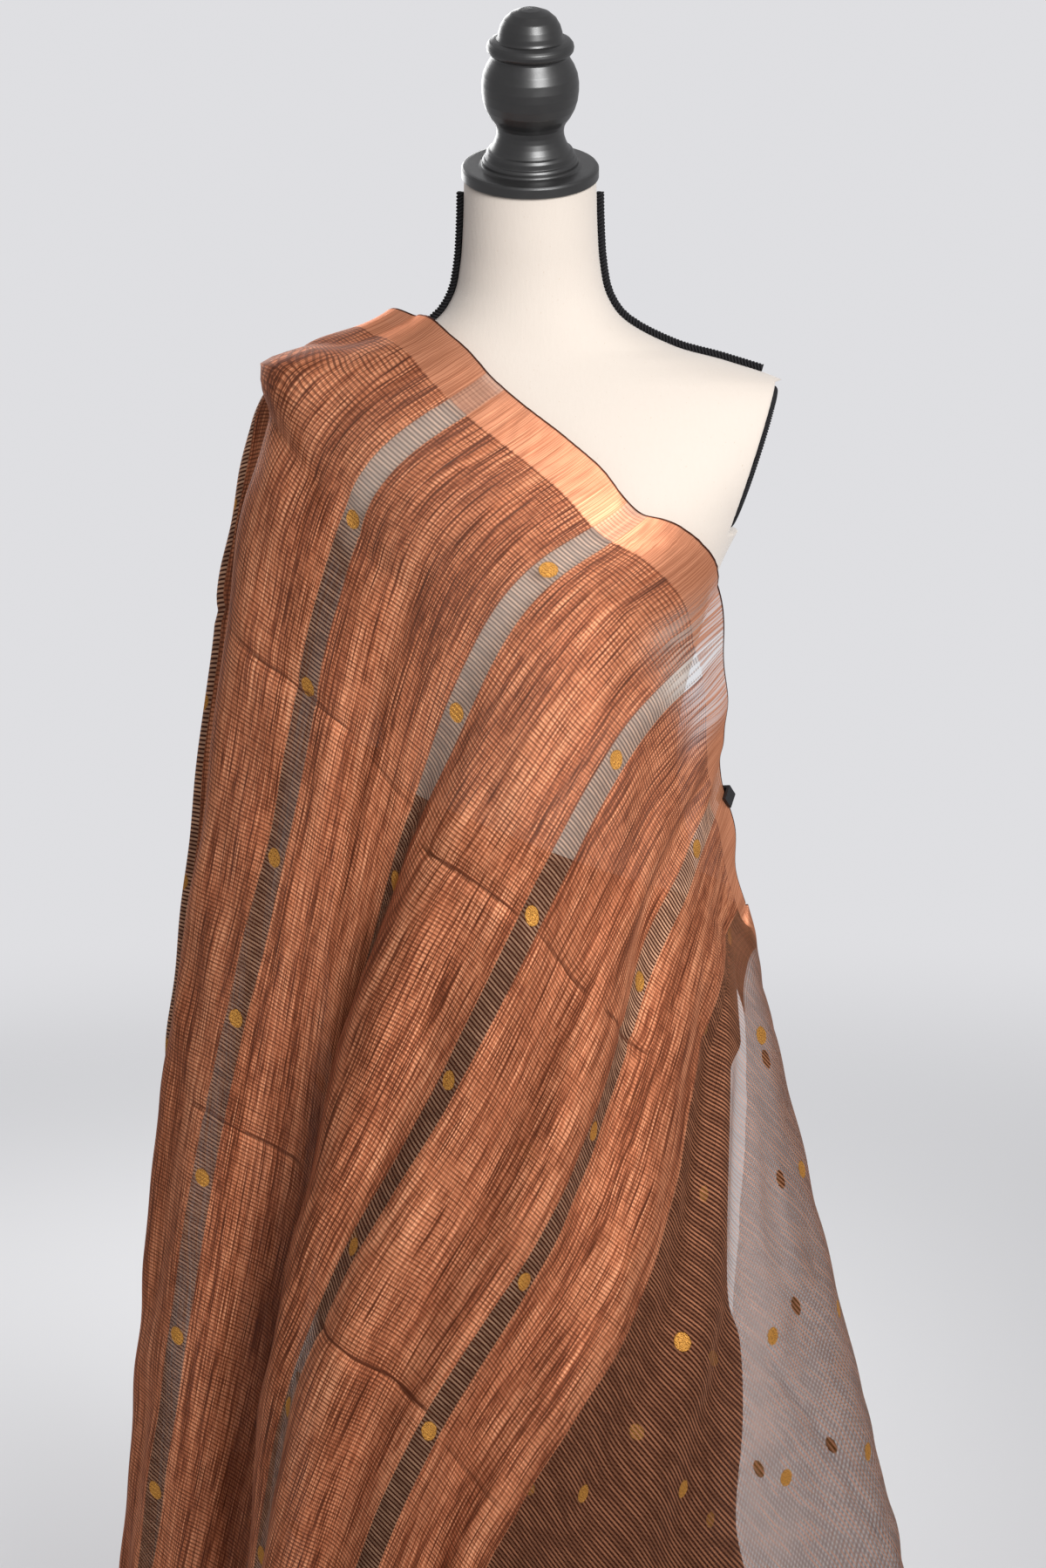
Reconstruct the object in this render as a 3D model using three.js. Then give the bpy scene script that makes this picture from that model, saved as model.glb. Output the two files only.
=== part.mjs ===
// A tissue saree draped over one shoulder of a limbless dress form on a turned stand.
// Millimetres, +Z up. The front faces -Y and the origin is the middle of the base's underside.

import * as THREE from 'three';
import { mergeVertices } from 'three/addons/utils/BufferGeometryUtils.js';

// Driving dimensions of the cloth
const clothWidth = 1150;          // loom width, from the top selvage to the bottom one
const wallThickness = 2;
const seamGap = 0.3;              // between neighbouring stretches of the one cloth
const formClearance = 11;         // from the dress form's cover to the middle of the cloth
const cornerClearance = 7;        // more of it round the shoulder's corner
const hemHeight = 28;             // the lowest that any edge hangs above the floor
const weftStations = [0, 158, 434, 710, clothWidth];

// Driving dimensions of the dress form and its stand
const armPlate = { top: [192, 1322], bottom: [155, 1207], half: 47, inset: 4, thickness: 2.4 };
const neckCap = { centreY: -22, centreZ: 1482.3, tilt: 20 };
const pole = { radius: 16, bottom: 44 };
const base = { radius: 172, edge: 14, boss: 46 };
const braid = { radius: 2.6, sides: 6 };
const clip = { place: 470, bite: 7.5, length: 14, width: 12, jaw: 2.2, mouth: 4.6 };

const finish = {
  copper: new THREE.MeshStandardMaterial({ color: 0xa75f3f, roughness: 0.5, metalness: 0.35 }),
  sheerBrown: new THREE.MeshStandardMaterial({ color: 0x5b463c, roughness: 0.55, metalness: 0.2 }),
  linen: new THREE.MeshStandardMaterial({ color: 0xe6dccb, roughness: 0.9, metalness: 0 }),
  blackWood: new THREE.MeshStandardMaterial({ color: 0x17171a, roughness: 0.35, metalness: 0 }),
  blackBraid: new THREE.MeshStandardMaterial({ color: 0x1c1c1e, roughness: 0.8, metalness: 0 }),
  blackSteel: new THREE.MeshStandardMaterial({ color: 0x202226, roughness: 0.4, metalness: 0.8 }),
};

// Level sections of the dress form, from the hips up to the neck: half width, depth to the front
// and to the back of the centre, the centre's place, how square the section is, and its tilt.
const formSections = [
  { z: 768, half: 146, front: 102, back: 102, centre: 0, square: 2.3, tilt: 0 },
  { z: 850, half: 151, front: 106, back: 106, centre: 0, square: 2.3, tilt: 0 },
  { z: 930, half: 134, front: 97, back: 94, centre: 0, square: 2.2, tilt: 0 },
  { z: 1010, half: 119, front: 91, back: 84, centre: 0, square: 2.2, tilt: 0 },
  { z: 1060, half: 121, front: 96, back: 85, centre: 0, square: 2.2, tilt: 0 },
  { z: 1120, half: 135, front: 114, back: 92, centre: 0, square: 2.3, tilt: 0 },
  { z: 1172, half: 149, front: 125, back: 99, centre: 0, square: 2.4, tilt: 0 },
  { z: 1215, half: 170, front: 121, back: 104, centre: 0, square: 2.4, tilt: 0 },
  { z: 1262, half: 198, front: 104, back: 104, centre: 0, square: 2.5, tilt: 0 },
  { z: 1300, half: 212, front: 88, back: 96, centre: 0, square: 2.4, tilt: 0 },
  { z: 1323, half: 202, front: 76, back: 86, centre: 0, square: 2.2, tilt: 0 },
  { z: 1340, half: 154, front: 67, back: 78, centre: 0, square: 2.0, tilt: 0 },
  { z: 1350, half: 117, front: 62, back: 70, centre: -1, square: 2.0, tilt: 0 },
  { z: 1370, half: 77, front: 57, back: 60, centre: -3, square: 2.0, tilt: 0 },
  { z: 1390, half: 61, front: 53, back: 54, centre: -6, square: 2.0, tilt: 2 },
  { z: 1414, half: 55, front: 51, back: 51, centre: -10, square: 2.0, tilt: 6 },
  { z: 1445, half: 52.5, front: 50.5, back: 50.5, centre: -16, square: 2.0, tilt: 13 },
  { z: 1482, half: 51.5, front: 50.5, back: 50.5, centre: -22, square: 2.0, tilt: 20 },
];

// The turned cap on the neck, from its underside up along its own axis.
const capProfile = [
  { radius: 53.5, height: 0 }, { radius: 53.5, height: 8.6 }, { radius: 52, height: 10 },
  { radius: 37.5, height: 10.6 }, { radius: 37, height: 15.5 }, { radius: 34, height: 17 },
  { radius: 33.8, height: 22 }, { radius: 30.5, height: 24.5 }, { radius: 27.5, height: 31 },
  { radius: 26, height: 38 }, { radius: 28, height: 45 }, { radius: 33, height: 52 },
  { radius: 36.6, height: 62 }, { radius: 37.5, height: 74 }, { radius: 35.2, height: 86 },
  { radius: 31, height: 94.5 }, { radius: 29.4, height: 97 }, { radius: 32.4, height: 99.5 },
  { radius: 33.6, height: 103.5 }, { radius: 32, height: 108 }, { radius: 25, height: 110.5 },
  { radius: 24.2, height: 116 }, { radius: 20.5, height: 124 }, { radius: 13, height: 130.6 },
];
const capHeight = 133.5;

// The cloth's lines down its width, in order along its length: place along the length, then
// x, y and z where the line passes the five weft stations.
const clothLines = [
  { place: -830, x: [112, 148, 169, 170, 170], y: [112, 124, 132, 138, 142], z: [1010, 850, 574, 298, 28] },
  { place: -720, x: [100, 92, 95, 98, 100], y: [122, 142, 158, 168, 172], z: [1050, 894, 620, 344, 28] },
  { place: -600, x: [62, 22, -6, -18, -24], y: [122, 146, 164, 176, 184], z: [1105, 955, 685, 412, 28] },
  { place: -460, x: [18, -52, -106, -132, -152], y: [114, 138, 154, 170, 180], z: [1188, 1048, 780, 508, 72] },
  { place: -300, x: [-40, -142, -206, -238, -264], y: [90, 104, 112, 126, 138], z: [1290, 1178, 908, 638, 204] },
  { place: -210, x: [-92, -202, -255, -286, -318], y: [66, 66, 62, 70, 78], z: [1346, 1256, 966, 692, 262] },
  { place: -150, x: [-117, -221, -274, -305, -338], y: [38, 30, 14, 14, 24], z: [1372, 1292, 988, 714, 284] },
  { place: -105, x: [-105, -212, -260, -303, -342], y: [0, 0, -20, -8, 2], z: [1380, 1301, 985, 711, 281] },
  { place: -60, x: [-69, -188, -248, -295, -342], y: [-38, -60, -62, -38, -18], z: [1365, 1266, 978, 706, 278] },
  { place: 0, x: [-26, -135, -200, -262, -332], y: [-82, -92, -92, -78, -44], z: [1325, 1222, 957, 694, 262] },
  { place: 75, x: [29, -80, -154, -201, -296], y: [-102, -122, -100, -62, -60], z: [1282, 1185, 919, 653, 232] },
  { place: 110, x: [54, -55, -135, -186, -276], y: [-112, -132, -90, -52, -48], z: [1262, 1163, 894, 627, 218] },
  { place: 150, x: [81, -27, -126, -181, -256], y: [-122, -142, -90, -62, -40], z: [1232, 1140, 871, 596, 206] },
  { place: 200, x: [112, 4, -109, -183, -242], y: [-100, -148, -116, -100, -68], z: [1217, 1109, 856, 578, 190] },
  { place: 250, x: [141, 34, -88, -189, -242], y: [-66, -146, -152, -150, -114], z: [1182, 1076, 837, 561, 170] },
  { place: 300, x: [155, 66, -62, -194, -252], y: [-34, -138, -178, -192, -165], z: [1122, 1042, 800, 543, 150] },
  { place: 375, x: [156, 92, -18, -149, -266], y: [-14, -118, -194, -224, -228], z: [1048, 979, 753, 513, 118] },
  { place: 450, x: [155, 113, 27, -106, -238], y: [-4, -94, -190, -234, -270], z: [1006, 914, 703, 480, 92] },
  { place: 500, x: [165, 131, 56, -78, -200], y: [4, -70, -182, -238, -286], z: [962, 878, 664, 444, 66] },
  { place: 550, x: [173, 148, 88, -48, -155], y: [8, -42, -166, -240, -296], z: [908, 850, 627, 405, 42] },
  { place: 650, x: [178, 184, 186, 140, 118], y: [7, -26, -84, -138, -196], z: [899, 806, 556, 330, 28] },
  { place: 750, x: [179, 208, 274, 332, 386], y: [20, 17, 16, 16, 15], z: [890, 764, 500, 260, 28] },
  { place: 830, x: [172, 204, 232, 252, 268], y: [46, 76, 92, 110, 122], z: [892, 758, 510, 264, 28] },
  { place: 890, x: [152, 184, 175, 160, 132], y: [66, 100, 110, 126, 140], z: [894, 750, 518, 268, 28] },
];

// Soft folds: place along the cloth at the fold's top and bottom end, the stations where it
// starts and ends (0 is the top selvage, 4 the hem), its half width and how far it stands out.
const folds = [
  { top: -118, bottom: -122, from: 0.5, to: 4.4, half: 22, out: -11 },
  { top: -86, bottom: -70, from: 0.9, to: 4.4, half: 24, out: 5 },
  { top: -30, bottom: 20, from: 0.2, to: 1.9, half: 26, out: 3 },
  { top: 30, bottom: 45, from: 1.4, to: 4.4, half: 30, out: 5 },
  { top: 60, bottom: 80, from: 0.9, to: 2.6, half: 20, out: -5 },
  { top: 215, bottom: 262, from: 1.3, to: 3.4, half: 26, out: 9 },
  { top: 262, bottom: 330, from: 1.5, to: 4.4, half: 24, out: -10 },
  { top: 300, bottom: 385, from: 1.5, to: 4.4, half: 28, out: 8 },
  { top: 345, bottom: 440, from: 1.2, to: 4.4, half: 26, out: -12 },
  { top: 385, bottom: 500, from: 1.0, to: 4.4, half: 26, out: 9 },
  { top: 432, bottom: 545, from: 0.7, to: 4.4, half: 22, out: -11 },
  { top: 412, bottom: 425, from: 0.2, to: 1.5, half: 18, out: -9 },
  { top: 380, bottom: 395, from: 0.2, to: 1.4, half: 18, out: 6 },
  { top: 500, bottom: 575, from: 0.6, to: 4.4, half: 22, out: 7 },
  { top: 560, bottom: 600, from: 0.8, to: 3.4, half: 14, out: -8 },
  { top: 588, bottom: 628, from: 0.9, to: 4.4, half: 15, out: 7 },
  { top: 612, bottom: 662, from: 1.0, to: 4.4, half: 16, out: -8 },
  { top: 650, bottom: 700, from: 1.4, to: 4.4, half: 22, out: 5 },
  { top: -190, bottom: -200, from: 0.5, to: 4.4, half: 26, out: 5 },
  { top: -240, bottom: -250, from: 0.1, to: 4.4, half: 30, out: -12 },
  { top: -300, bottom: -310, from: 0.1, to: 4.4, half: 30, out: 11 },
  { top: -365, bottom: -372, from: 0.1, to: 4.4, half: 32, out: -14 },
  { top: -430, bottom: -440, from: 0.1, to: 4.4, half: 34, out: 12 },
  { top: -500, bottom: -505, from: 0.0, to: 4.4, half: 34, out: -16 },
  { top: -565, bottom: -572, from: 0.0, to: 4.4, half: 34, out: 14 },
  { top: -632, bottom: -640, from: 0.0, to: 4.4, half: 34, out: -16 },
  { top: -695, bottom: -700, from: 0.0, to: 4.4, half: 32, out: 14 },
  { top: -760, bottom: -765, from: 0.0, to: 4.4, half: 30, out: -12 },
];

// The first turns of the saree round the waist, under the drape: level sections, wider again
// below the knees, and the tuck where the turned-in top stands out at the right side.
const waistWrap = {
  topLeft: 1030, topRight: 912, plies: 9,
  tuck: { angle: 12, spread: 34, out: 13, drop: 138, hem: 10 },
  sections: [
    { drop: 0, half: 150, depth: 110 }, { drop: 70, half: 158, depth: 115 },
    { drop: 128, half: 163, depth: 117 }, { drop: 148, half: 165, depth: 118 },
    { drop: 300, half: 163, depth: 119 }, { drop: 350, half: 165, depth: 120 },
    { drop: 380, half: 174, depth: 121 }, { drop: 450, half: 177, depth: 121 },
    { drop: 540, half: 172, depth: 122 }, { drop: 600, half: 182, depth: 123 },
    { drop: 880, half: 188, depth: 127 },
  ],
};

// The stretches that show, each cut from the cloth between two places along its length.
const stretches = [
  { name: 'pallu_back', from: -830, to: -105, cloth: 'copper' },
  { name: 'pallu_front', from: -105, to: 550, cloth: 'copper' },
  { name: 'body_front', from: 550, to: 750, cloth: 'sheerBrown' },
  { name: 'body_return', from: 750, to: 890, cloth: 'sheerBrown' },
];
// The lines crowd together at the top of the right side, so a seam is drawn back by more than half.
const seamShare = 1.6;
const gridSteps = {
  stations: [0, 0.14, 0.3, 0.48, 0.66, 0.84, 1, 1.18, 1.4, 1.65, 1.9, 2.2, 2.5, 2.75, 3, 3.33, 3.66, 4],
  along: { pallu_back: 28, pallu_front: 38, body_front: 15, body_return: 6 },
};

const object = new THREE.Group();

function addPiece(name, geometry, material) {
  const mesh = new THREE.Mesh(geometry, material);
  mesh.name = name;
  object.add(mesh);
  return mesh;
}

// Value at t through rows of numbers at the given places, smooth, with the slope at each row
// taken from its two neighbours.
function smoothAt(places, values, t) {
  const last = places.length - 1;
  let i = 0;
  while (i < last - 1 && t > places[i + 1]) i += 1;
  const slope = (k) => {
    const a = Math.max(k - 1, 0);
    const b = Math.min(k + 1, last);
    return (values[b] - values[a]) / (places[b] - places[a]);
  };
  const span = places[i + 1] - places[i];
  const s = (t - places[i]) / span;
  const s2 = s * s;
  const s3 = s2 * s;
  return (2 * s3 - 3 * s2 + 1) * values[i] + (s3 - 2 * s2 + s) * span * slope(i)
    + (3 * s2 - 2 * s3) * values[i + 1] + (s3 - s2) * span * slope(i + 1);
}

const sectionHeights = formSections.map((row) => row.z);

const sectionColumns = {};
for (const column of Object.keys(formSections[0])) {
  sectionColumns[column] = formSections.map((row) => row[column]);
}

function formSectionAt(z) {
  const pick = (column) => smoothAt(sectionHeights, sectionColumns[column], z);
  return {
    half: pick('half'), front: pick('front'), back: pick('back'),
    centre: pick('centre'), square: pick('square'), tilt: pick('tilt'),
  };
}

// The flat arm plates cut the shoulders along a slanted plane: greatest |x| at a height.
function plateX(z) {
  const [topX, topZ] = armPlate.top;
  const [bottomX, bottomZ] = armPlate.bottom;
  if (z < bottomZ) return Infinity;
  return bottomX + (topX - bottomX) * (z - bottomZ) / (topZ - bottomZ);
}

// Below 1 inside the dress form grown by a clearance, 1 on it, above 1 outside.
function formLevel(x, y, z, clearance) {
  if (z > 1480) return 9;
  const row = formSectionAt(Math.max(z - 0.7 * clearance, formSections[0].z));
  const half = Math.min(row.half, plateX(Math.min(z, armPlate.top[1])) + 3) + clearance;
  const depth = (y < row.centre ? row.front : row.back) + clearance;
  return (Math.abs(x) / half) ** row.square + (Math.abs(y - row.centre) / depth) ** row.square;
}

// Moves a point straight out of the grown dress form, in small steps up the level's slope.
function pushOut(point, clearance) {
  const step = 0.7;
  for (let n = 0; n < 90; n += 1) {
    const level = formLevel(point.x, point.y, point.z, clearance);
    if (level >= 1) break;
    const slope = new THREE.Vector3(
      formLevel(point.x + 1, point.y, point.z, clearance) - level,
      formLevel(point.x, point.y + 1, point.z, clearance) - level,
      formLevel(point.x, point.y, point.z + 1, clearance) - level,
    );
    point.addScaledVector(slope.normalize(), step);
  }
  return point;
}

// One closed body from a grid of outer points and a grid of inner points. The grid's rows run
// along u and its columns along v; a closed grid joins its last row to its first.
function wallGeometry(outer, inner, closed) {
  const rows = outer.length;
  const columns = outer[0].length;
  const positions = [];
  for (const grid of [outer, inner]) {
    for (const row of grid) for (const p of row) positions.push(p.x, p.y, p.z);
  }
  const at = (side, i, j) => side * rows * columns + (i % rows) * columns + j;
  const index = [];
  const quad = (a, b, c, d) => index.push(a, b, c, a, c, d);
  const rowSpans = closed ? rows : rows - 1;
  for (let i = 0; i < rowSpans; i += 1) {
    for (let j = 0; j < columns - 1; j += 1) {
      quad(at(0, i, j), at(0, i, j + 1), at(0, i + 1, j + 1), at(0, i + 1, j));
      quad(at(1, i, j), at(1, i + 1, j), at(1, i + 1, j + 1), at(1, i, j + 1));
    }
    quad(at(0, i, 0), at(0, i + 1, 0), at(1, i + 1, 0), at(1, i, 0));
    quad(at(0, i + 1, columns - 1), at(0, i, columns - 1), at(1, i, columns - 1), at(1, i + 1, columns - 1));
  }
  if (!closed) {
    for (let j = 0; j < columns - 1; j += 1) {
      quad(at(0, 0, j + 1), at(0, 0, j), at(1, 0, j), at(1, 0, j + 1));
      quad(at(0, rows - 1, j), at(0, rows - 1, j + 1), at(1, rows - 1, j + 1), at(1, rows - 1, j));
    }
  }
  const geometry = new THREE.BufferGeometry();
  geometry.setAttribute('position', new THREE.Float32BufferAttribute(positions, 3));
  geometry.setIndex(index);
  return geometry;
}

const linePlaces = clothLines.map((line) => line.place);
const stationNumbers = weftStations.map((_, k) => k);
const pointsAtStation = new Map();

// Where every line passes one station, kept for the next call.
function lineColumns(station) {
  if (!pointsAtStation.has(station)) {
    const column = (axis) => clothLines.map((line) => smoothAt(stationNumbers, line[axis], station));
    pointsAtStation.set(station, { x: column('x'), y: column('y'), z: column('z') });
  }
  return pointsAtStation.get(station);
}

// The cloth's middle surface before its folds, at a place along the length and a station.
function clothBase(place, station) {
  const { x, y, z } = lineColumns(station);
  return new THREE.Vector3(
    smoothAt(linePlaces, x, place), smoothAt(linePlaces, y, place), smoothAt(linePlaces, z, place));
}

function outwardNormal(surface, place, station) {
  const du = 2;
  const dv = 0.02;
  const alongStep = surface(place + du, station).sub(surface(place - du, station));
  const downStep = surface(place, station + dv).sub(surface(place, station - dv));
  return downStep.cross(alongStep).normalize();
}

const bell = (s) => (Math.abs(s) < 1 ? (1 + Math.cos(Math.PI * s)) / 2 : 0);
const ramp = (s) => THREE.MathUtils.smoothstep(s, 0, 1);

function foldHeight(place, station) {
  let height = 0;
  for (const fold of folds) {
    const t = (station - fold.from) / (fold.to - fold.from);
    const middle = fold.top + (fold.bottom - fold.top) * THREE.MathUtils.clamp(t, 0, 1);
    const fade = ramp((station - fold.from) / 0.6) * ramp((fold.to - station) / 0.4);
    height += fold.out * fade * bell((place - middle) / (1.6 * fold.half));
  }
  return height;
}

function clothSurface(place, station) {
  const inside = THREE.MathUtils.clamp(place, linePlaces[0], linePlaces[linePlaces.length - 1]);
  const point = clothBase(inside, station);
  const normal = outwardNormal(clothBase, inside, station);
  point.addScaledVector(normal, foldHeight(inside, station));
  point.z = Math.max(point.z, hemHeight);
  const corner = ramp((Math.abs(point.x) - 140) / 40) * ramp((point.z - 1270) / 30);
  return pushOut(point, formClearance + cornerClearance * corner);
}

function clothStretch({ name, from, to }) {
  const steps = gridSteps.along[name];
  const outer = [];
  const inner = [];
  const firstPlace = linePlaces[0];
  const lastPlace = linePlaces[linePlaces.length - 1];
  for (let i = 0; i <= steps; i += 1) {
    let place = from + (to - from) * i / steps;
    if (i === 0 && from > firstPlace) place += seamGap * seamShare;
    if (i === steps && to < lastPlace) place -= seamGap * seamShare;
    const outerRow = [];
    const innerRow = [];
    for (const station of gridSteps.stations) {
      const point = clothSurface(place, station);
      const normal = outwardNormal(clothSurface, THREE.MathUtils.clamp(place, firstPlace + 3, lastPlace - 3), station);
      outerRow.push(point.clone().addScaledVector(normal, wallThickness / 2));
      innerRow.push(point.clone().addScaledVector(normal, -wallThickness / 2));
    }
    outer.push(outerRow);
    inner.push(innerRow);
  }
  return wallGeometry(outer, inner, false);
}

// The waist turns: a skirt-like tube with shallow upright plies, its top edge falling to the right.
function waistTube() {
  const { tuck } = waistWrap;
  const around = 34;
  const drops = waistWrap.sections.map((row) => row.drop);
  const outer = [];
  const inner = [];
  for (let i = 0; i < around; i += 1) {
    const angle = 2 * Math.PI * (i / around - 0.5);
    const outerRow = [];
    const innerRow = [];
    const lean = (1 + Math.cos(angle)) / 2;
    const turned = bell((angle - THREE.MathUtils.degToRad(tuck.angle)) / THREE.MathUtils.degToRad(tuck.spread));
    const top = waistWrap.topLeft + (waistWrap.topRight - waistWrap.topLeft) * lean;
    for (const row of waistWrap.sections) {
      const t = row.drop / drops[drops.length - 1];
      const z = top + (hemHeight + 6 - top) * t;
      const half = smoothAt(drops, waistWrap.sections.map((r) => r.half), row.drop);
      const stand = tuck.out * turned * (1 - ramp((row.drop - tuck.drop + tuck.hem) / (2 * tuck.hem)));
      const wave = 3 * t * Math.cos(waistWrap.plies * angle);
      const place = (grow) => new THREE.Vector3(
        (half + stand + grow) * Math.cos(angle), (row.depth + stand + grow) * Math.sin(angle), z);
      outerRow.push(place(wave));
      innerRow.push(place(wave - wallThickness));
    }
    outer.push(outerRow);
    inner.push(innerRow);
  }
  return wallGeometry(outer, inner, true);
}

function capMatrix() {
  return new THREE.Matrix4()
    .makeTranslation(0, neckCap.centreY, neckCap.centreZ)
    .multiply(new THREE.Matrix4().makeRotationX(THREE.MathUtils.degToRad(neckCap.tilt)));
}

// A point of the dress form's cover at a height and an angle round the section.
function formPoint(z, angle) {
  const row = formSectionAt(z);
  const c = Math.cos(angle);
  const s = Math.sin(angle);
  const power = 2 / row.square;
  const depth = s < 0 ? row.front : row.back;
  const limit = z < armPlate.top[1] + 2 ? plateX(z) : Infinity;
  const x = Math.sign(c) * Math.min(row.half * Math.abs(c) ** power, limit);
  const across = Math.sign(s) * depth * Math.abs(s) ** power;
  const tilt = THREE.MathUtils.degToRad(row.tilt);
  return new THREE.Vector3(x, row.centre + across * Math.cos(tilt), z + across * Math.sin(tilt));
}

const formHeights = [
  768, 810, 850, 890, 930, 970, 1010, 1060, 1120, 1172, 1207, 1235, 1262, 1285, 1305, 1318, 1326,
  1333, 1341, 1350, 1360, 1373, 1390, 1414, 1445, 1482,
];

function formBody() {
  const around = 36;
  const positions = [];
  for (const z of formHeights) {
    for (let i = 0; i < around; i += 1) {
      const p = formPoint(z, 2 * Math.PI * i / around);
      positions.push(p.x, p.y, p.z);
    }
  }
  const rings = formHeights.length;
  const index = [];
  for (let k = 0; k < rings - 1; k += 1) {
    for (let i = 0; i < around; i += 1) {
      const a = k * around + i;
      const b = k * around + (i + 1) % around;
      index.push(a, b, b + around, a, b + around, a + around);
    }
  }
  for (const [k, flip] of [[0, true], [rings - 1, false]]) {
    const centre = positions.length / 3;
    const row = formSections[flip ? 0 : formSections.length - 1];
    positions.push(0, row.centre, formHeights[k]);
    for (let i = 0; i < around; i += 1) {
      const a = k * around + i;
      const b = k * around + (i + 1) % around;
      if (flip) index.push(centre, b, a);
      else index.push(centre, a, b);
    }
  }
  const geometry = new THREE.BufferGeometry();
  geometry.setAttribute('position', new THREE.Float32BufferAttribute(positions, 3));
  geometry.setIndex(index);
  return geometry;
}

function neckFinial() {
  const points = [new THREE.Vector2(0, 0)];
  for (const row of capProfile) points.push(new THREE.Vector2(row.radius, row.height));
  points.push(new THREE.Vector2(0, capHeight));
  const geometry = new THREE.LatheGeometry(points, 26);
  geometry.rotateX(Math.PI / 2);
  geometry.applyMatrix4(capMatrix());
  return closedGeometry(geometry);
}

// Shared corners are merged and the needles at the axis dropped.
function closedGeometry(geometry) {
  geometry.deleteAttribute('normal');
  geometry.deleteAttribute('uv');
  const merged = mergeVertices(geometry, 1e-3);
  const old = merged.getIndex().array;
  const kept = [];
  for (let i = 0; i < old.length; i += 3) {
    const [a, b, c] = [old[i], old[i + 1], old[i + 2]];
    if (a !== b && b !== c && c !== a) kept.push(a, b, c);
  }
  merged.setIndex(kept);
  return merged;
}

// A round braid along a path of points, or round a loop of them.
function braidGeometry(path, closed) {
  const curve = new THREE.CatmullRomCurve3(path, closed, 'centripetal');
  const steps = path.length * (closed ? 1 : 2);
  const frames = curve.computeFrenetFrames(steps, closed);
  const rings = closed ? steps : steps + 1;
  const positions = [];
  for (let k = 0; k < rings; k += 1) {
    const centre = curve.getPointAt(k / steps);
    for (let i = 0; i < braid.sides; i += 1) {
      const angle = 2 * Math.PI * i / braid.sides;
      const p = centre.clone()
        .addScaledVector(frames.normals[k], braid.radius * Math.cos(angle))
        .addScaledVector(frames.binormals[k], braid.radius * Math.sin(angle));
      positions.push(p.x, p.y, p.z);
    }
  }
  const index = [];
  const spans = closed ? rings : rings - 1;
  for (let k = 0; k < spans; k += 1) {
    const next = (k + 1) % rings;
    for (let i = 0; i < braid.sides; i += 1) {
      const j = (i + 1) % braid.sides;
      const [a, b] = [k * braid.sides + i, k * braid.sides + j];
      const [c, d] = [next * braid.sides + j, next * braid.sides + i];
      index.push(a, b, c, a, c, d);
    }
  }
  if (!closed) {
    for (let i = 1; i < braid.sides - 1; i += 1) {
      index.push(0, i + 1, i);
      const end = (rings - 1) * braid.sides;
      index.push(end, end + i, end + i + 1);
    }
  }
  const geometry = new THREE.BufferGeometry();
  geometry.setAttribute('position', new THREE.Float32BufferAttribute(positions, 3));
  geometry.setIndex(index);
  return geometry;
}

// Along the side seam of the neck and the top of the shoulder, clear of the cover.
const seamHeights = [1470, 1445, 1420, 1400, 1384, 1371, 1360, 1351.5, 1345.5, 1340.5, 1335.5, 1331];

function shoulderBraid(side) {
  const path = seamHeights.map((z) => {
    const here = formPoint(z, 0);
    const above = formPoint(z + 2, 0);
    const below = formPoint(z - 2, 0);
    const slope = above.sub(below).normalize();
    const outward = new THREE.Vector3(slope.z, 0, -slope.x);
    const p = here.addScaledVector(outward, braid.radius + 4 * seamGap);
    return new THREE.Vector3(side * p.x, p.y, p.z);
  });
  return braidGeometry(path, false);
}

// Round the rim of the arm plate, lying on the plate.
function armBraid(side) {
  const count = 22;
  const path = [];
  const [topX, topZ] = armPlate.top;
  const [bottomX, bottomZ] = armPlate.bottom;
  const middleZ = (topZ + bottomZ) / 2;
  const reach = (topZ - bottomZ) / 2 - armPlate.inset;
  const slopeLength = Math.hypot(topX - bottomX, topZ - bottomZ);
  const outward = new THREE.Vector3((topZ - bottomZ) / slopeLength, 0, -(topX - bottomX) / slopeLength);
  for (let i = 0; i < count; i += 1) {
    const angle = 2 * Math.PI * i / count;
    const z = middleZ + reach * Math.sin(angle);
    const p = new THREE.Vector3(plateX(z), -armPlateDepth(z, Math.cos(angle)), z);
    p.addScaledVector(outward, seamGap + braid.radius);
    path.push(new THREE.Vector3(side * p.x, p.y, p.z));
  }
  return braidGeometry(path, true);
}

// Half the plate's depth, front (positive turn) or back, narrowing to its top and bottom.
function armPlateDepth(z, turn) {
  const [, topZ] = armPlate.top;
  const [, bottomZ] = armPlate.bottom;
  const middleZ = (topZ + bottomZ) / 2;
  const t = (z - middleZ) / ((topZ - bottomZ) / 2 - armPlate.inset);
  const round = Math.sqrt(Math.max(0, 1 - t * t));
  return Math.sign(turn) * armPlate.half * round - 2;
}

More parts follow.
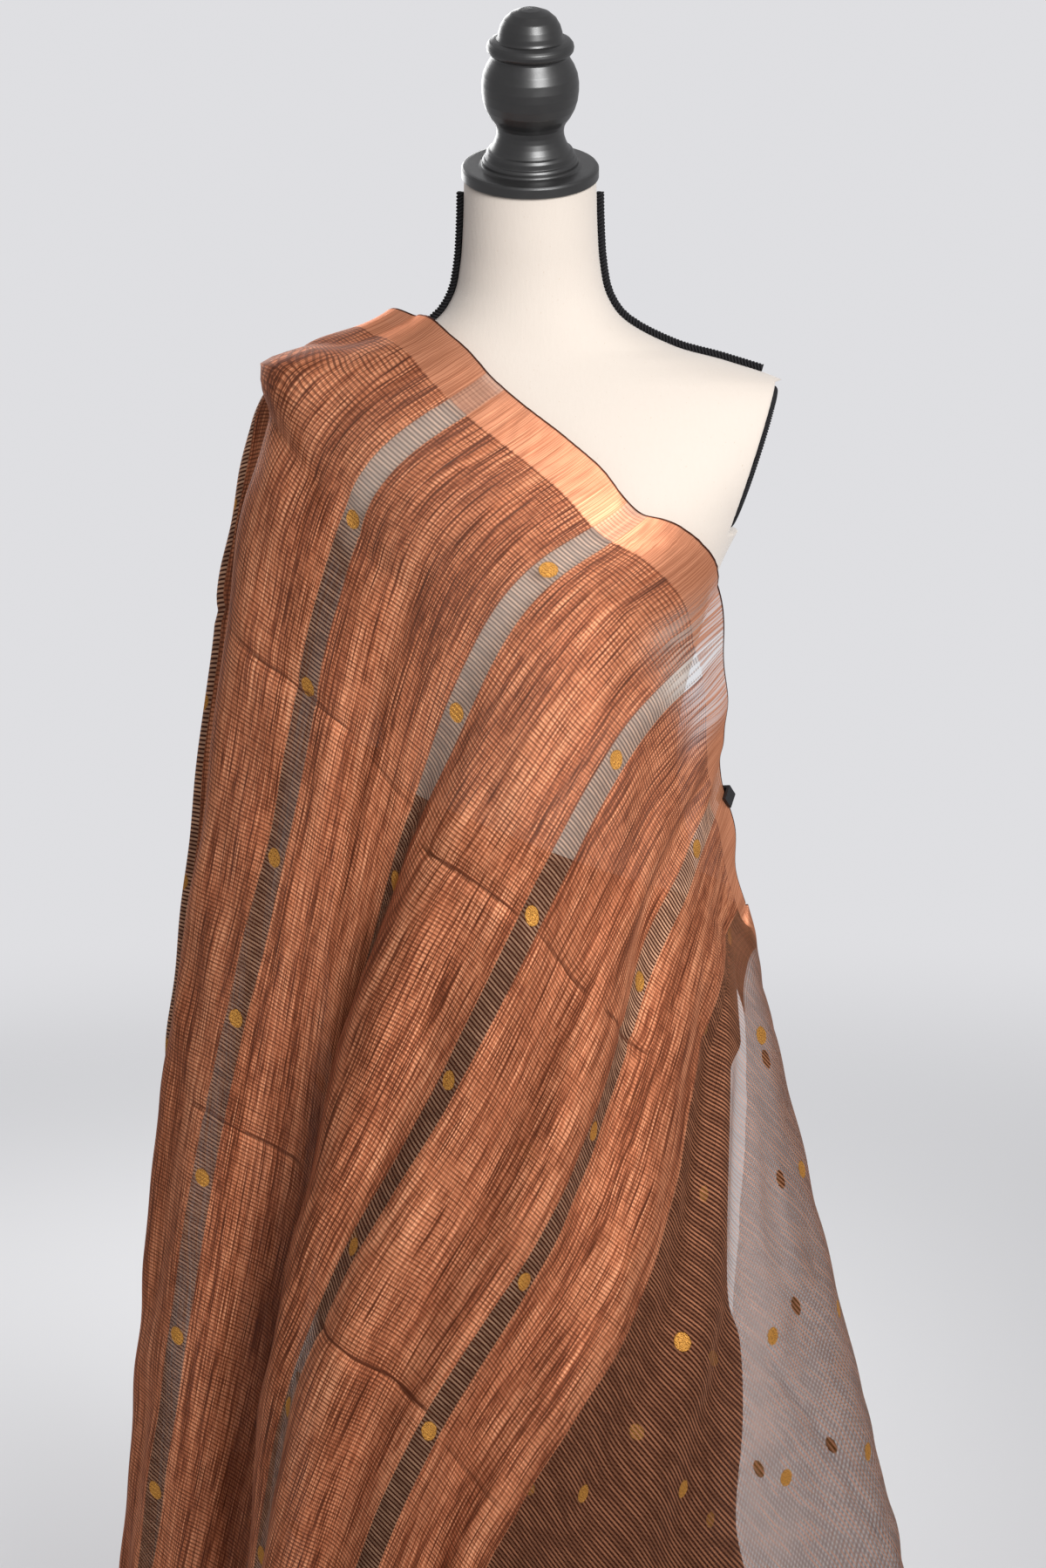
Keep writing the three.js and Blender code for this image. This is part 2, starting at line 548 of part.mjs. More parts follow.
// The flat oval board in the armhole, just outside the cover.
function armBoard(side) {
  const count = 24;
  const shape = new THREE.Shape();
  const [topX, topZ] = armPlate.top;
  const [bottomX, bottomZ] = armPlate.bottom;
  const rim = 2 * braid.radius;
  const tall = Math.hypot(topX - bottomX, topZ - bottomZ) / 2 - armPlate.inset - rim;
  const points = [];
  for (let i = 0; i < count; i += 1) {
    const angle = 2 * Math.PI * i / count;
    points.push(new THREE.Vector2((armPlate.half - rim) * Math.cos(angle), tall * Math.sin(angle)));
  }
  shape.setFromPoints(points);
  const geometry = new THREE.ExtrudeGeometry(shape, { depth: armPlate.thickness, bevelEnabled: false });
  const up = new THREE.Vector3(topX - bottomX, 0, topZ - bottomZ).normalize();
  const outward = new THREE.Vector3(up.z, 0, -up.x);
  const across = new THREE.Vector3().crossVectors(up, outward);
  const middle = new THREE.Vector3((topX + bottomX) / 2, 2, (topZ + bottomZ) / 2)
    .addScaledVector(outward, seamGap);
  const place = new THREE.Matrix4().makeBasis(across, up, outward).setPosition(middle);
  geometry.applyMatrix4(place);
  const closed = closedGeometry(geometry);
  if (side < 0) {
    closed.applyMatrix4(new THREE.Matrix4().makeScale(-1, 1, 1));
    const index = closed.getIndex().array;
    for (let i = 0; i < index.length; i += 3) [index[i], index[i + 1]] = [index[i + 1], index[i]];
  }
  return closed;
}

function standPole() {
  const top = formSections[0].z - seamGap;
  const geometry = new THREE.CylinderGeometry(pole.radius, pole.radius, top - pole.bottom - seamGap, 20);
  geometry.rotateX(Math.PI / 2);
  geometry.translate(0, 0, (top + pole.bottom + seamGap) / 2);
  return geometry;
}

function standBase() {
  const points = [
    [0, 0], [base.radius, 0], [base.radius, base.edge - 3], [base.radius - 3, base.edge],
    [base.radius * 0.42, base.edge + 5], [base.boss, base.edge + 10], [base.boss - 12, pole.bottom - 5],
    [base.boss - 18, pole.bottom], [0, pole.bottom],
  ].map(([radius, z]) => new THREE.Vector2(radius, z));
  const geometry = new THREE.LatheGeometry(points, 40);
  geometry.rotateX(Math.PI / 2);
  return closedGeometry(geometry);
}

// A sprung clip whose two jaws hold the front stretch's selvage between them.
function sideClip() {
  const half = clip.mouth / 2 + clip.jaw;
  const shape = new THREE.Shape();
  const outline = [
    [0, -half], [clip.length, -half], [clip.length, half], [0, half], [0, clip.mouth / 2],
    [clip.length - clip.jaw, clip.mouth / 2], [clip.length - clip.jaw, -clip.mouth / 2],
    [0, -clip.mouth / 2],
  ];
  shape.setFromPoints(outline.map(([x, y]) => new THREE.Vector2(x, y)));
  const geometry = new THREE.ExtrudeGeometry(shape, { depth: clip.width, bevelEnabled: false });
  geometry.translate(0, 0, -clip.width / 2);
  return closedGeometry(geometry);
}

// On the front stretch's selvage at the side: x points out of the cloth, y through it.
function clipMatrix() {
  const selvage = clothSurface(clip.place, 0);
  const through = outwardNormal(clothSurface, clip.place, 0.03);
  const out = selvage.clone().sub(clothSurface(clip.place, 0.06)).normalize();
  const width = new THREE.Vector3().crossVectors(out, through).normalize();
  out.crossVectors(through, width);
  return new THREE.Matrix4().makeBasis(out, through, width)
    .setPosition(selvage.addScaledVector(out, -clip.bite));
}

for (const stretch of stretches) {
  addPiece(stretch.name, clothStretch(stretch), finish[stretch.cloth]);
}
addPiece('waist_wrap', waistTube(), finish.sheerBrown);
addPiece('form_body', formBody(), finish.linen);
addPiece('neck_finial', neckFinial(), finish.blackWood);
for (const [label, side] of [['left', -1], ['right', 1]]) {
  addPiece(`shoulder_braid_${label}`, shoulderBraid(side), finish.blackBraid);
  addPiece(`arm_braid_${label}`, armBraid(side), finish.blackBraid);
  addPiece(`arm_board_${label}`, armBoard(side), finish.linen);
}
addPiece('stand_pole', standPole(), finish.blackWood);
addPiece('stand_base', standBase(), finish.blackWood);
const clipMesh = addPiece('side_clip', sideClip(), finish.blackSteel);
clipMesh.applyMatrix4(clipMatrix());

export default object;
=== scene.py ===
import math
import bpy
import numpy as np
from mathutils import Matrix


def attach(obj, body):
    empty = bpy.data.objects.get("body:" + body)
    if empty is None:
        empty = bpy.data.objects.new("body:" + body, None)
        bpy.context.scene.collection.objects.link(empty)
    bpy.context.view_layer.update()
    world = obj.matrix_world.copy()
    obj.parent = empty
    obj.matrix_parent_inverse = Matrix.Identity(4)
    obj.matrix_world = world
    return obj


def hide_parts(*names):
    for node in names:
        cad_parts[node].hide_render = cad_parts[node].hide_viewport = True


# A saree draped on a limbless dress form. Sizes are in millimetres until a mesh is made.
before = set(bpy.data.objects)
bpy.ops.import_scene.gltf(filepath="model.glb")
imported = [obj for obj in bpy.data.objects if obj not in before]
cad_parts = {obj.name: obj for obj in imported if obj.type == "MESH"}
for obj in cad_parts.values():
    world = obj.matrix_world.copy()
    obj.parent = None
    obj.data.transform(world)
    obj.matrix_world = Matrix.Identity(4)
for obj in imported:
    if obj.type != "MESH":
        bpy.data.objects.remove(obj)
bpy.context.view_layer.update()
mm = 0.001
body = "root"

# One colour is three linear parts of light.
palette = {
    "copperDeep": (0.095, 0.027, 0.013),
    "copperBrown": (0.265, 0.078, 0.036),
    "copper": (0.510, 0.175, 0.082),
    "copperBright": (0.800, 0.355, 0.190),
    "zariShade": (0.400, 0.150, 0.078),
    "zari": (0.600, 0.255, 0.142),
    "threadDark": (0.046, 0.014, 0.008),
    "threadTan": (0.450, 0.190, 0.100),
    "barTan": (0.720, 0.410, 0.255),
    "gold": (0.570, 0.275, 0.060),
    "goldShade": (0.240, 0.100, 0.020),
    "clothGloss": (0.80, 0.42, 0.28),
    "clothSheen": (0.85, 0.50, 0.34),
    "linen": (0.570, 0.508, 0.450),
    "linenShade": (0.490, 0.422, 0.360),
    "linenFleck": (0.400, 0.290, 0.190),
    "lacquer": (0.0080, 0.0078, 0.0078),
    "lacquerWorn": (0.020, 0.019, 0.019),
    "braid": (0.022, 0.021, 0.023),
    "braidShade": (0.004, 0.004, 0.005),
    "steel": (0.012, 0.012, 0.014),
    "steelWorn": (0.03, 0.03, 0.032),
    "wall": (0.80, 0.80, 0.825),
    "floor": (0.80, 0.80, 0.81),
}


# Shader maths. A ShaderValue wraps one socket, and an expression on it adds Math nodes.
class ShaderValue:
    def __init__(self, graph, socket):
        self.graph = graph
        self.socket = socket

    def combine(self, operation, *others):
        return self.graph.node("ShaderNodeMath", {"operation": operation}, [self, *others])

    def __add__(self, other):
        return self.combine("ADD", other)

    def __radd__(self, other):
        return self.combine("ADD", other)

    def __sub__(self, other):
        return self.combine("SUBTRACT", other)

    def __rsub__(self, other):
        return self.graph.node("ShaderNodeMath", {"operation": "SUBTRACT"}, [other, self])

    def __mul__(self, other):
        return self.combine("MULTIPLY", other)

    def __rmul__(self, other):
        return self.combine("MULTIPLY", other)

    def __truediv__(self, other):
        return self.combine("DIVIDE", other)

    def __mod__(self, other):
        return self.combine("FLOORED_MODULO", other)

    def __pow__(self, other):
        return self.combine("POWER", other)

    def __abs__(self):
        return self.combine("ABSOLUTE")

    def least(self, other):
        return self.combine("MINIMUM", other)

    def most(self, other):
        return self.combine("MAXIMUM", other)

    def sine(self):
        return self.combine("SINE")

    def rise(self, low, high):
        # 0 below low, 1 above high, smooth between; falls where low is above high
        return self.graph.node(
            "ShaderNodeMapRange", {"interpolation_type": "SMOOTHSTEP"},
            {"Value": self, "From Min": low, "From Max": high})

    def within(self, limit, soft):
        # 1 below the limit and 0 above it, with a soft edge on both sides of it
        return self.rise(limit + soft, limit - soft)

    def offCentre(self, period, centre=0.0):
        # signed distance to the nearest of centre + n * period
        return (self - (centre - period / 2)) % period - period / 2


class ShaderGraph:
    def __init__(self, name):
        self.material = bpy.data.materials.new(name)
        self.material.use_nodes = True
        self.tree = self.material.node_tree
        self.tree.nodes.clear()
        self.output = self.tree.nodes.new("ShaderNodeOutputMaterial")

    def feed(self, socket, value):
        if isinstance(value, ShaderValue):
            self.tree.links.new(value.socket, socket)
        elif isinstance(value, tuple) and len(value) == 3 and socket.type == "RGBA":
            socket.default_value = (*value, 1.0)
        else:
            socket.default_value = value

    def node(self, kind, settings=None, inputs=None, output=0):
        made = self.tree.nodes.new(kind)
        for key, value in (settings or {}).items():
            if key == "stops":
                ramp = made.color_ramp
                for spare in range(len(value) - 2):
                    ramp.elements.new(0.5)
                for element, (place, colour) in zip(ramp.elements, value):
                    element.position = place
                    element.color = (*colour, 1.0)
            else:
                setattr(made, key, value)
        pairs = inputs.items() if isinstance(inputs, dict) else enumerate(inputs or [])
        for key, value in pairs:
            self.feed(made.inputs[key], value)
        return ShaderValue(self, made.outputs[output])

    def mix(self, factor, first, second):
        made = self.tree.nodes.new("ShaderNodeMix")
        made.data_type = "RGBA"
        self.feed(made.inputs[0], factor)
        self.feed(made.inputs[6], first)
        self.feed(made.inputs[7], second)
        return ShaderValue(self, made.outputs[2])

    def noise(self, parts, detail=2.0, roughness=0.5):
        vector = self.node("ShaderNodeCombineXYZ", None, parts)
        flat = {"noise_dimensions": "2D" if len(parts) == 2 else "3D"}
        return self.node(
            "ShaderNodeTexNoise", flat,
            {"Vector": vector, "Scale": 1.0, "Detail": detail, "Roughness": roughness}, "Fac")

    def parts(self, vector):
        outputs = self.node("ShaderNodeSeparateXYZ", None, [vector]).socket.node.outputs
        return [ShaderValue(self, outputs[k]) for k in range(3)]

    def cloth(self):
        # along the warp and across it, in millimetres of the flat cloth
        along, across = self.parts(self.node("ShaderNodeUVMap", {"uv_map": "weave"}))[:2]
        return along * 1000.0, across * 1000.0

    def attributePair(self, name):
        vector = self.node("ShaderNodeAttribute", {"attribute_name": name}, None, "Vector")
        return self.parts(vector)[:2]

    def place(self):
        # Object coordinates in millimetres
        coordinates = self.node("ShaderNodeTexCoord", None, None, "Object")
        return [part * 1000.0 for part in self.parts(coordinates)]

    def bump(self, height, distance, strength):
        # distance in millimetres
        return self.node(
            "ShaderNodeBump", None,
            {"Height": height, "Distance": distance * mm, "Strength": strength}, "Normal")

    def finish(self, values):
        shader = self.node("ShaderNodeBsdfPrincipled", None, values)
        self.tree.links.new(shader.socket, self.output.inputs["Surface"])
        return self.material


# The saree's weave, in millimetres of the flat cloth. Along is counted from the first bar in
# front of the shoulder, and across from the top selvage.
weave = {
    "width": 1150,
    "copperEnds": 550,                          # the copper weft stops here, and the dark cloth starts
    "barSpacing": 150, "barHalf": 10,           # bars where the copper weft is left out
    "border": 37, "selvage": 1.6,
    "motif": 7.0, "motifSpacing": 138,          # a motif's radius, and their spacing across
    "oddRow": 158, "evenRow": 89,               # the first motif of every other row
    "bodyFirst": 600, "bodySpacing": 150,       # rows of motifs on the dark cloth
    "pinstripe": 3.2,
    "bareThread": (0.85, 0.20),                 # half width and soft edge, on the sheer parts
    "darkThread": (0.675, 0.225),               # and on the copper
    # how much of what lies behind each part covers
    "copperCover": 0.93, "barCover": 0.46, "backBarCover": 0.86,
    "bodyCover": 0.44, "borderCover": 0.97,
    # the last bar lies double near its top, where the cloth turns under
    "doubleFrom": 400, "doubleTo": 430, "doubleLow": 330, "doubleHigh": 250, "doubleCover": 0.4,
    # the cloth thins where its border turns under at the right, fading in, out and down
    "thinFrom": 235, "thinTo": 385, "thinDown": 105, "thinFade": (40, 50, 60),
    "scatter": 0.30,                            # light let through to what lies behind
}

# Noise on the cloth: cell size along and across, where it starts across, detail and roughness.
threadNoise = {
    "ragged": (0.9, 0.9, 0, 0.0, 0.5),
    "thread": (0.62, 70, 5, 0.0, 0.5),
    "slub": (2.1, 120, 17, 1.5, 0.7),
    "band": (15, 400, 31, 0.0, 0.5),
    "fleck": (1.2, 14, 43, 0.0, 0.5),
    "glint": (30, 6, 67, 1.0, 0.6),
}


# Each part of the weave is 1 inside it and 0 outside: the copper end, its bars, the border, the
# selvage, the motifs and the sheer parts, which are the bars and the dark cloth.
def weaveParts(g, u, v, ragged):
    w = weave
    # millimetres of surface to one of cloth along and across, where the cloth is crowded
    runAlong, runAcross = g.attributePair("run")

    def toMotif(period, firstColumn, firstRow):
        du = u.offCentre(period, firstColumn) * runAlong
        dv = v.offCentre(w["motifSpacing"], firstRow) * runAcross
        return (du * du + dv * dv) ** 0.5

    def toMotifs(firstColumn, spacing):
        # two staggered rows
        return toMotif(2 * spacing, firstColumn, w["oddRow"]).least(
            toMotif(2 * spacing, firstColumn + spacing, w["evenRow"]))

    copperEnd = u.within(w["copperEnds"], 0.6)
    motifRange = toMotifs(0, w["barSpacing"]) * copperEnd
    motifRange = motifRange + toMotifs(w["bodyFirst"], w["bodySpacing"] / 2) * (1 - copperEnd)
    toEdge = v.least(w["width"] - v)
    clearOfEdge = toEdge.rise(w["border"] + 6, w["border"] + 8)
    bar = abs(u.offCentre(w["barSpacing"]) * runAlong).within(w["barHalf"], 0.7) * copperEnd
    return {
        "copperEnd": copperEnd,
        "bar": bar,
        "border": toEdge.within(w["border"], 0.7),
        "selvage": toEdge.within(w["selvage"], 0.5),
        "motif": (motifRange + ragged * 1.6 - 0.8).within(w["motif"], 0.4) * clearOfEdge,
        "sheer": bar.most(1 - copperEnd),
    }


# The weft is slubby, each thread running across the cloth, and the pinstripes run along it: dark
# threads on the copper and tan ones on the sheer parts, which are painted dim for shade on the turns.
def clothColour(g, parts, threads, stripe, fine, shadedStack):
    thread, slub, glint = threads["thread"], threads["slub"], threads["glint"]
    shade = thread * 0.40 + slub * 0.36 + threads["band"] * 0.18 + threads["fleck"] * 0.16 - 0.05
    copper = g.node("ShaderNodeValToRGB", {"stops": [
        (0.36, palette["copperDeep"]), (0.455, palette["copperBrown"]),
        (0.53, palette["copper"]), (0.68, palette["copperBright"])]}, [shade])
    # painted glint: the dark pinstripes on the copper are fainter where the glint noise is high
    copperWoven = g.mix(fine * (0.80 - glint * 0.24), copper, palette["copperDeep"])
    tan = g.mix(parts["copperEnd"], palette["threadTan"], palette["barTan"])
    # painted shade: on the turns the tan threads are dimmed to 0.16, against 0.85 on the lit cloth
    bright = 0.16 if shadedStack else 0.85
    # painted glint: the tan threads are lighter where the glint noise is high
    sheerWoven = g.mix(stripe * (glint * 0.45 + 0.55) * bright, palette["threadDark"], tan)
    zari = g.mix(thread.rise(0.34, 0.64), palette["zariShade"], palette["zari"])
    gold = g.mix(threads["ragged"].rise(0.30, 0.60), palette["goldShade"], palette["gold"])
    colour = g.mix(parts["sheer"], copperWoven, sheerWoven)
    colour = g.mix(parts["border"] * (1 - 0.30 * parts["sheer"]), colour, zari)
    colour = g.mix(parts["motif"], colour, gold)
    return g.mix(parts["selvage"], colour, palette["threadDark"])


# How much the cloth covers what lies behind it: each part's own share, less where the border
# thins at the right, and more where the cloth is seen edge on.
def clothCover(g, u, v, parts, slub, stripe, barCover):
    w = weave
    copperCover = w["copperCover"] + (slub - 0.5) * 0.20
    doubled = u.rise(w["doubleFrom"], w["doubleTo"]) * v.rise(w["doubleLow"], w["doubleHigh"])
    barShare = barCover + doubled * w["doubleCover"] - w["bodyCover"]
    sheerCover = w["bodyCover"] + barShare * parts["copperEnd"]
    sheerCover = sheerCover + (stripe - 0.5) * (0.26 - parts["copperEnd"] * 0.44)
    cover = copperCover + (sheerCover - copperCover) * parts["sheer"]
    fadeIn, fadeOut, fadeDown = w["thinFade"]
    thin = u.rise(w["thinFrom"], w["thinFrom"] + fadeIn) * u.rise(w["thinTo"], w["thinTo"] - fadeOut)
    thin = thin * v.rise(w["thinDown"], w["thinDown"] - fadeDown)
    cover = cover.most(parts["border"] * (w["borderCover"] - 0.25 * parts["bar"]))
    cover = cover - thin * (slub.rise(0.36, 0.60) * 0.55 + 0.12)
    cover = cover.most(parts["motif"] * 0.98).most(parts["selvage"])
    edgeOn = g.node("ShaderNodeLayerWeight", None, {"Blend": 0.5}, "Facing")
    clear = (1 - cover.least(0.995)) ** (edgeOn * edgeOn * 2.0 + 1)
    # light that the threads scatter reaches what lies behind the cloth
    shadow = g.node("ShaderNodeLightPath", None, None, "Is Shadow Ray")
    return 1 - (clear + (1 - clear) * shadow * w["scatter"])


# The turns stand for many layers, so nothing shows through them, and their tan threads are painted
# dim for the shade among the layers. On the back, the bars lie over the layers that hang inside, so
# they cover more.
def tissueMaterial(name, shadedStack=False, barCover=weave["barCover"]):
    g = ShaderGraph(name)
    u, v = g.cloth()
    threads = {}
    for kind, (along, across, start, detail, rough) in threadNoise.items():
        cell = [u / along, v / across + start]
        threads[kind] = g.noise(cell, detail, rough)
    thread, slub, ragged = threads["thread"], threads["slub"], threads["ragged"]
    threads["glint"] = threads["glint"].rise(0.36, 0.64)
    parts = weaveParts(g, u, v, ragged)
    fromThread = abs(v.offCentre(weave["pinstripe"]))
    stripe = fromThread.within(*weave["bareThread"])
    fine = fromThread.within(*weave["darkThread"])
    colour = clothColour(g, parts, threads, stripe, fine, shadedStack)

    # the sharp line at the bottom of each crease, broken here and there: a bump, and painted shade
    # along it
    creaseOff, creaseDepth = g.attributePair("crease")
    line = abs(creaseOff + threads["glint"] * 1.6 + ragged * 0.8 - 1.2).rise(2.4, 0.5) * creaseDepth
    border, motif = parts["border"], parts["motif"]
    weft = (thread * 0.8 + slub * 0.9) * (1 - 0.6 * border)
    ribs = stripe * (border * 0.8 - 0.9) + weft + motif * (2.0 + ragged) + border * 0.6
    looks = {
        # painted shade: the colour darkens towards deep copper along the crease lines
        "Base Color": g.mix(line * (0.65 + slub * 0.5), colour, palette["copperDeep"]),
        "Metallic": 0.34 + border * 0.22 + motif * 0.2,
        "Roughness": 0.50 - border * 0.08 - motif * 0.06 + ragged * 0.08,
        "Normal": g.bump(line * -2.2 + ribs, 0.5, 0.7),
        "Specular IOR Level": 0.14, "Specular Tint": palette["clothGloss"],
        "Sheen Weight": 0.05, "Sheen Roughness": 0.4, "Sheen Tint": palette["clothSheen"],
    }
    if not shadedStack:
        looks["Alpha"] = clothCover(g, u, v, parts, slub, stripe, barCover)
    return g.finish(looks)


def linenMaterial(threadSpacing=0.9):
    g = ShaderGraph("linenCover")
    x, y, z = g.place()
    warp = (z * (2 * math.pi / threadSpacing)).sine()
    weft = ((x + y * 0.7) * (2 * math.pi / threadSpacing)).sine()
    uneven = g.noise([x / 2.5, y / 2.5, z / 14], 3.0, 0.6)
    soft = g.noise([x / 60, y / 60, z / 60], 2.0)
    fleck = g.noise([x / 1.1, y / 1.1, z / 2.6], 1.0).rise(0.735, 0.80)
    colour = g.mix(uneven * 0.24 + soft * 0.10, palette["linen"], palette["linenShade"])
    return g.finish({
        "Base Color": g.mix(fleck * 0.55, colour, palette["linenFleck"]),
        "Roughness": 0.92 - uneven * 0.1,
        "Normal": g.bump(warp * weft * 0.5 + uneven * 1.6, 0.22, 0.45),
        "Specular IOR Level": 0.25, "Sheen Weight": 0.25, "Sheen Roughness": 0.6,
    })


def blackWoodMaterial():
    g = ShaderGraph("blackWood")
    x, y, z = g.place()
    grain = g.noise([x / 1.5, y / 1.5, z / 22], 3.0)
    rub = g.noise([x / 9, y / 9, z / 9], 3.0, 0.6)
    return g.finish({
        "Base Color": g.mix(rub * 0.5, palette["lacquer"], palette["lacquerWorn"]),
        "Roughness": 0.34 + rub * 0.14,
        "Normal": g.bump(grain, 0.06, 0.25),
        "Specular IOR Level": 0.7, "Coat Weight": 0.35, "Coat Roughness": 0.22,
    })


def braidMaterial():
    g = ShaderGraph("blackBraid")
    x, y, z = g.place()
    fibre = g.noise([x / 0.35, y / 0.35, z / 0.35], 2.0, 0.6)
    return g.finish({
        "Base Color": g.mix(fibre * 0.8, palette["braidShade"], palette["braid"]),
        "Roughness": 0.74 + fibre * 0.15,
        "Normal": g.bump(fibre, 0.15, 0.5),
        "Specular IOR Level": 0.22,
    })


def steelMaterial():
    g = ShaderGraph("blackSteel")
    x, y, z = g.place()
    wear = g.noise([x / 2, y / 2, z / 2], 3.0)
    return g.finish({
        "Base Color": g.mix(wear * 0.5, palette["steel"], palette["steelWorn"]),
        "Roughness": 0.35 + wear * 0.15,
        "Metallic": 0.5,
    })


materials = {
    "copper_tissue": tissueMaterial("tissue"),
    "back_tissue": tissueMaterial("tissueBack", barCover=weave["backBarCover"]),
    "sheer_tissue": tissueMaterial("tissueTurns", shadedStack=True),
    "linen_cover": linenMaterial(),
    "black_wood": blackWoodMaterial(),
    "black_braid": braidMaterial(),
    "black_steel": steelMaterial(),
}
print("materials:", len(materials))


# 0 below 0, 1 above 1, smooth between
def softStep(s):
    s = np.clip(s, 0, 1)
    return s * s * (3 - 2 * s)


# 1 at the middle, falling along a cosine to 0 at the half width
def softHump(off, half):
    return (1 + np.cos(np.pi * np.clip(off / half, -1, 1))) / 2


# Creases from storage, which run along the warp: place across the cloth at each end, where the
# crease starts and ends along it, its depth and its half width.
creases = [
    (297, 304, -82, 62, 2.4, 9), (309, 314, 66, 176, 1.6, 8), (313, 302, 182, 300, 3.0, 10),
    (302, 293, 306, 392, 2.2, 8), (292, 268, 398, 486, 2.6, 10), (657, 653, -40, 96, 2.8, 8),
    (634, 630, 286, 455, 3.2, 10), (640, 634, 466, 540, 1.4, 8), (376, 408, 650, 905, 2.2, 9),
    (302, 300, -262, -120, 2.2, 9), (298, 305, -452, -290, 2.8, 10), (300, 296, -640, -470, 1.8, 9),
    (642, 648, -330, -190, 2.4, 9), (650, 640, -612, -380, 2.8, 10), (908, 904, -560, -250, 2.0, 9),
    (905, 911, 120, 300, 1.8, 8),
]


# How far across the cloth a crease lies from each point, and its depth there, which fades over a
# share of its length at each end.
def creaseAt(uv, crease, share=1 / 6):
    startV, endV, startU, endU, depth, half = crease
    t = (uv[..., 0] - startU) / (endU - startU)
    ends = softStep(t / share) * softStep((1 - t) / share)
    return uv[..., 1] - startV - (endV - startV) * t, depth * ends


# The nearest crease: distance across, kept within reach, and how strong its line is, which is 1
# where it is as deep as full.
def creaseLines(uv, reach=20, full=3):
    nearest = np.full(uv.shape[:2], float(reach))
    strength = np.zeros(uv.shape[:2])
    for crease in creases:
        off, depth = creaseAt(uv, crease)
        closer = (np.abs(off) < np.abs(nearest)) & (depth > 0)
        nearest = np.where(closer, off, nearest)
        strength = np.where(closer, depth / full, strength)
    return np.stack([nearest, strength, 0 * strength], axis=-1)


# How far the surface goes for a millimetre of cloth along and across the warp: with P the points
# and (u, v) the flat cloth, dP/du = (Pi vj - Pj vi) / (ui vj - uj vi).
def surfaceRun(points, uv, least=0.5, most=1.3, flattest=1e-3):
    pi, pj = np.gradient(points, axis=0), np.gradient(points, axis=1)
    (ui, vi), (uj, vj) = (np.moveaxis(np.gradient(uv, axis=k), -1, 0)[..., None] for k in (0, 1))
    turn = ui * vj - uj * vi
    turn = np.where(np.abs(turn) < flattest, flattest, turn)
    along = np.linalg.norm((pi * vj - pj * vi) / turn, axis=-1)
    across = np.linalg.norm((pj * ui - pi * uj) / turn, axis=-1)
    along, across = np.clip(along, least, most), np.clip(across, least, most)
    return np.stack([along, across, 0 * along], axis=-1)


# The four corners of each cell of a grid whose points are numbered row by row.
def gridQuads(index):
    corners = [index[:-1, :-1], index[1:, :-1], index[1:, 1:], index[:-1, 1:]]
    return np.stack(corners, axis=-1).reshape(-1, 4).tolist()


# A mesh piece from a grid of points in millimetres, rows x columns x 3. A wrapped grid joins its
# last row to its first. uv, where given, is the place in the flat cloth in millimetres. cloth is
# the material, where it isn't the slot's own.
def gridPiece(name, points, slot, uv=None, wrapRows=False, wrapColumns=False, caps=False, cloth=None):
    rows, columns = points.shape[:2]
    index = np.arange(rows * columns).reshape(rows, columns)
    if wrapRows:
        index = np.vstack([index, index[:1]])
    if wrapColumns:
        index = np.hstack([index, index[:, :1]])
    faces = gridQuads(index)
    if caps:
        faces += [index[0, :columns][::-1].tolist(), index[-1, :columns].tolist()]
    mesh = bpy.data.meshes.new(name)
    mesh.from_pydata((points.reshape(-1, 3) * mm).tolist(), [], faces)
    if uv is not None:
        layer = mesh.uv_layers.new(name="weave")
        corners = np.zeros(len(mesh.loops), np.int32)
        mesh.loops.foreach_get("vertex_index", corners)
        layer.data.foreach_set("uv", (uv.reshape(-1, 2)[corners] * mm).ravel())
        for label, values in (("run", surfaceRun(points, uv)), ("crease", creaseLines(uv))):
            layer = mesh.attributes.new(label, "FLOAT_VECTOR", "POINT")
            layer.data.foreach_set("vector", values.ravel())
    mesh.polygons.foreach_set("use_smooth", np.ones(len(mesh.polygons), bool))
    mesh.materials.append(materials[cloth or slot])
    mesh.update()
    piece = bpy.data.objects.new(name, mesh)
    bpy.context.scene.collection.objects.link(piece)
    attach(piece, body)
    return piece


# Weights that carry values at the given places to the points t: a cubic between two places,
# whose slope at each place comes from its two neighbours.
def curveWeights(places, t):
    places = np.asarray(places, float)
    t = np.atleast_1d(np.asarray(t, float))
    last = len(places) - 1
    unit = np.eye(last + 1)
    after = np.minimum(np.arange(last + 1) + 1, last)
    before = np.maximum(np.arange(last + 1) - 1, 0)
    slopes = (unit[after] - unit[before]) / (places[after] - places[before])[:, None]
    i = np.clip(np.searchsorted(places, t, side="left") - 1, 0, last - 1)
    span = (places[i + 1] - places[i])[:, None]
    s = ((t - places[i]) / span[:, 0])[:, None]
    return ((2 * s**3 - 3 * s**2 + 1) * unit[i] + (s**3 - 2 * s**2 + s) * span * slopes[i]
            + (3 * s**2 - 2 * s**3) * unit[i + 1] + (s**3 - s**2) * span * slopes[i + 1])


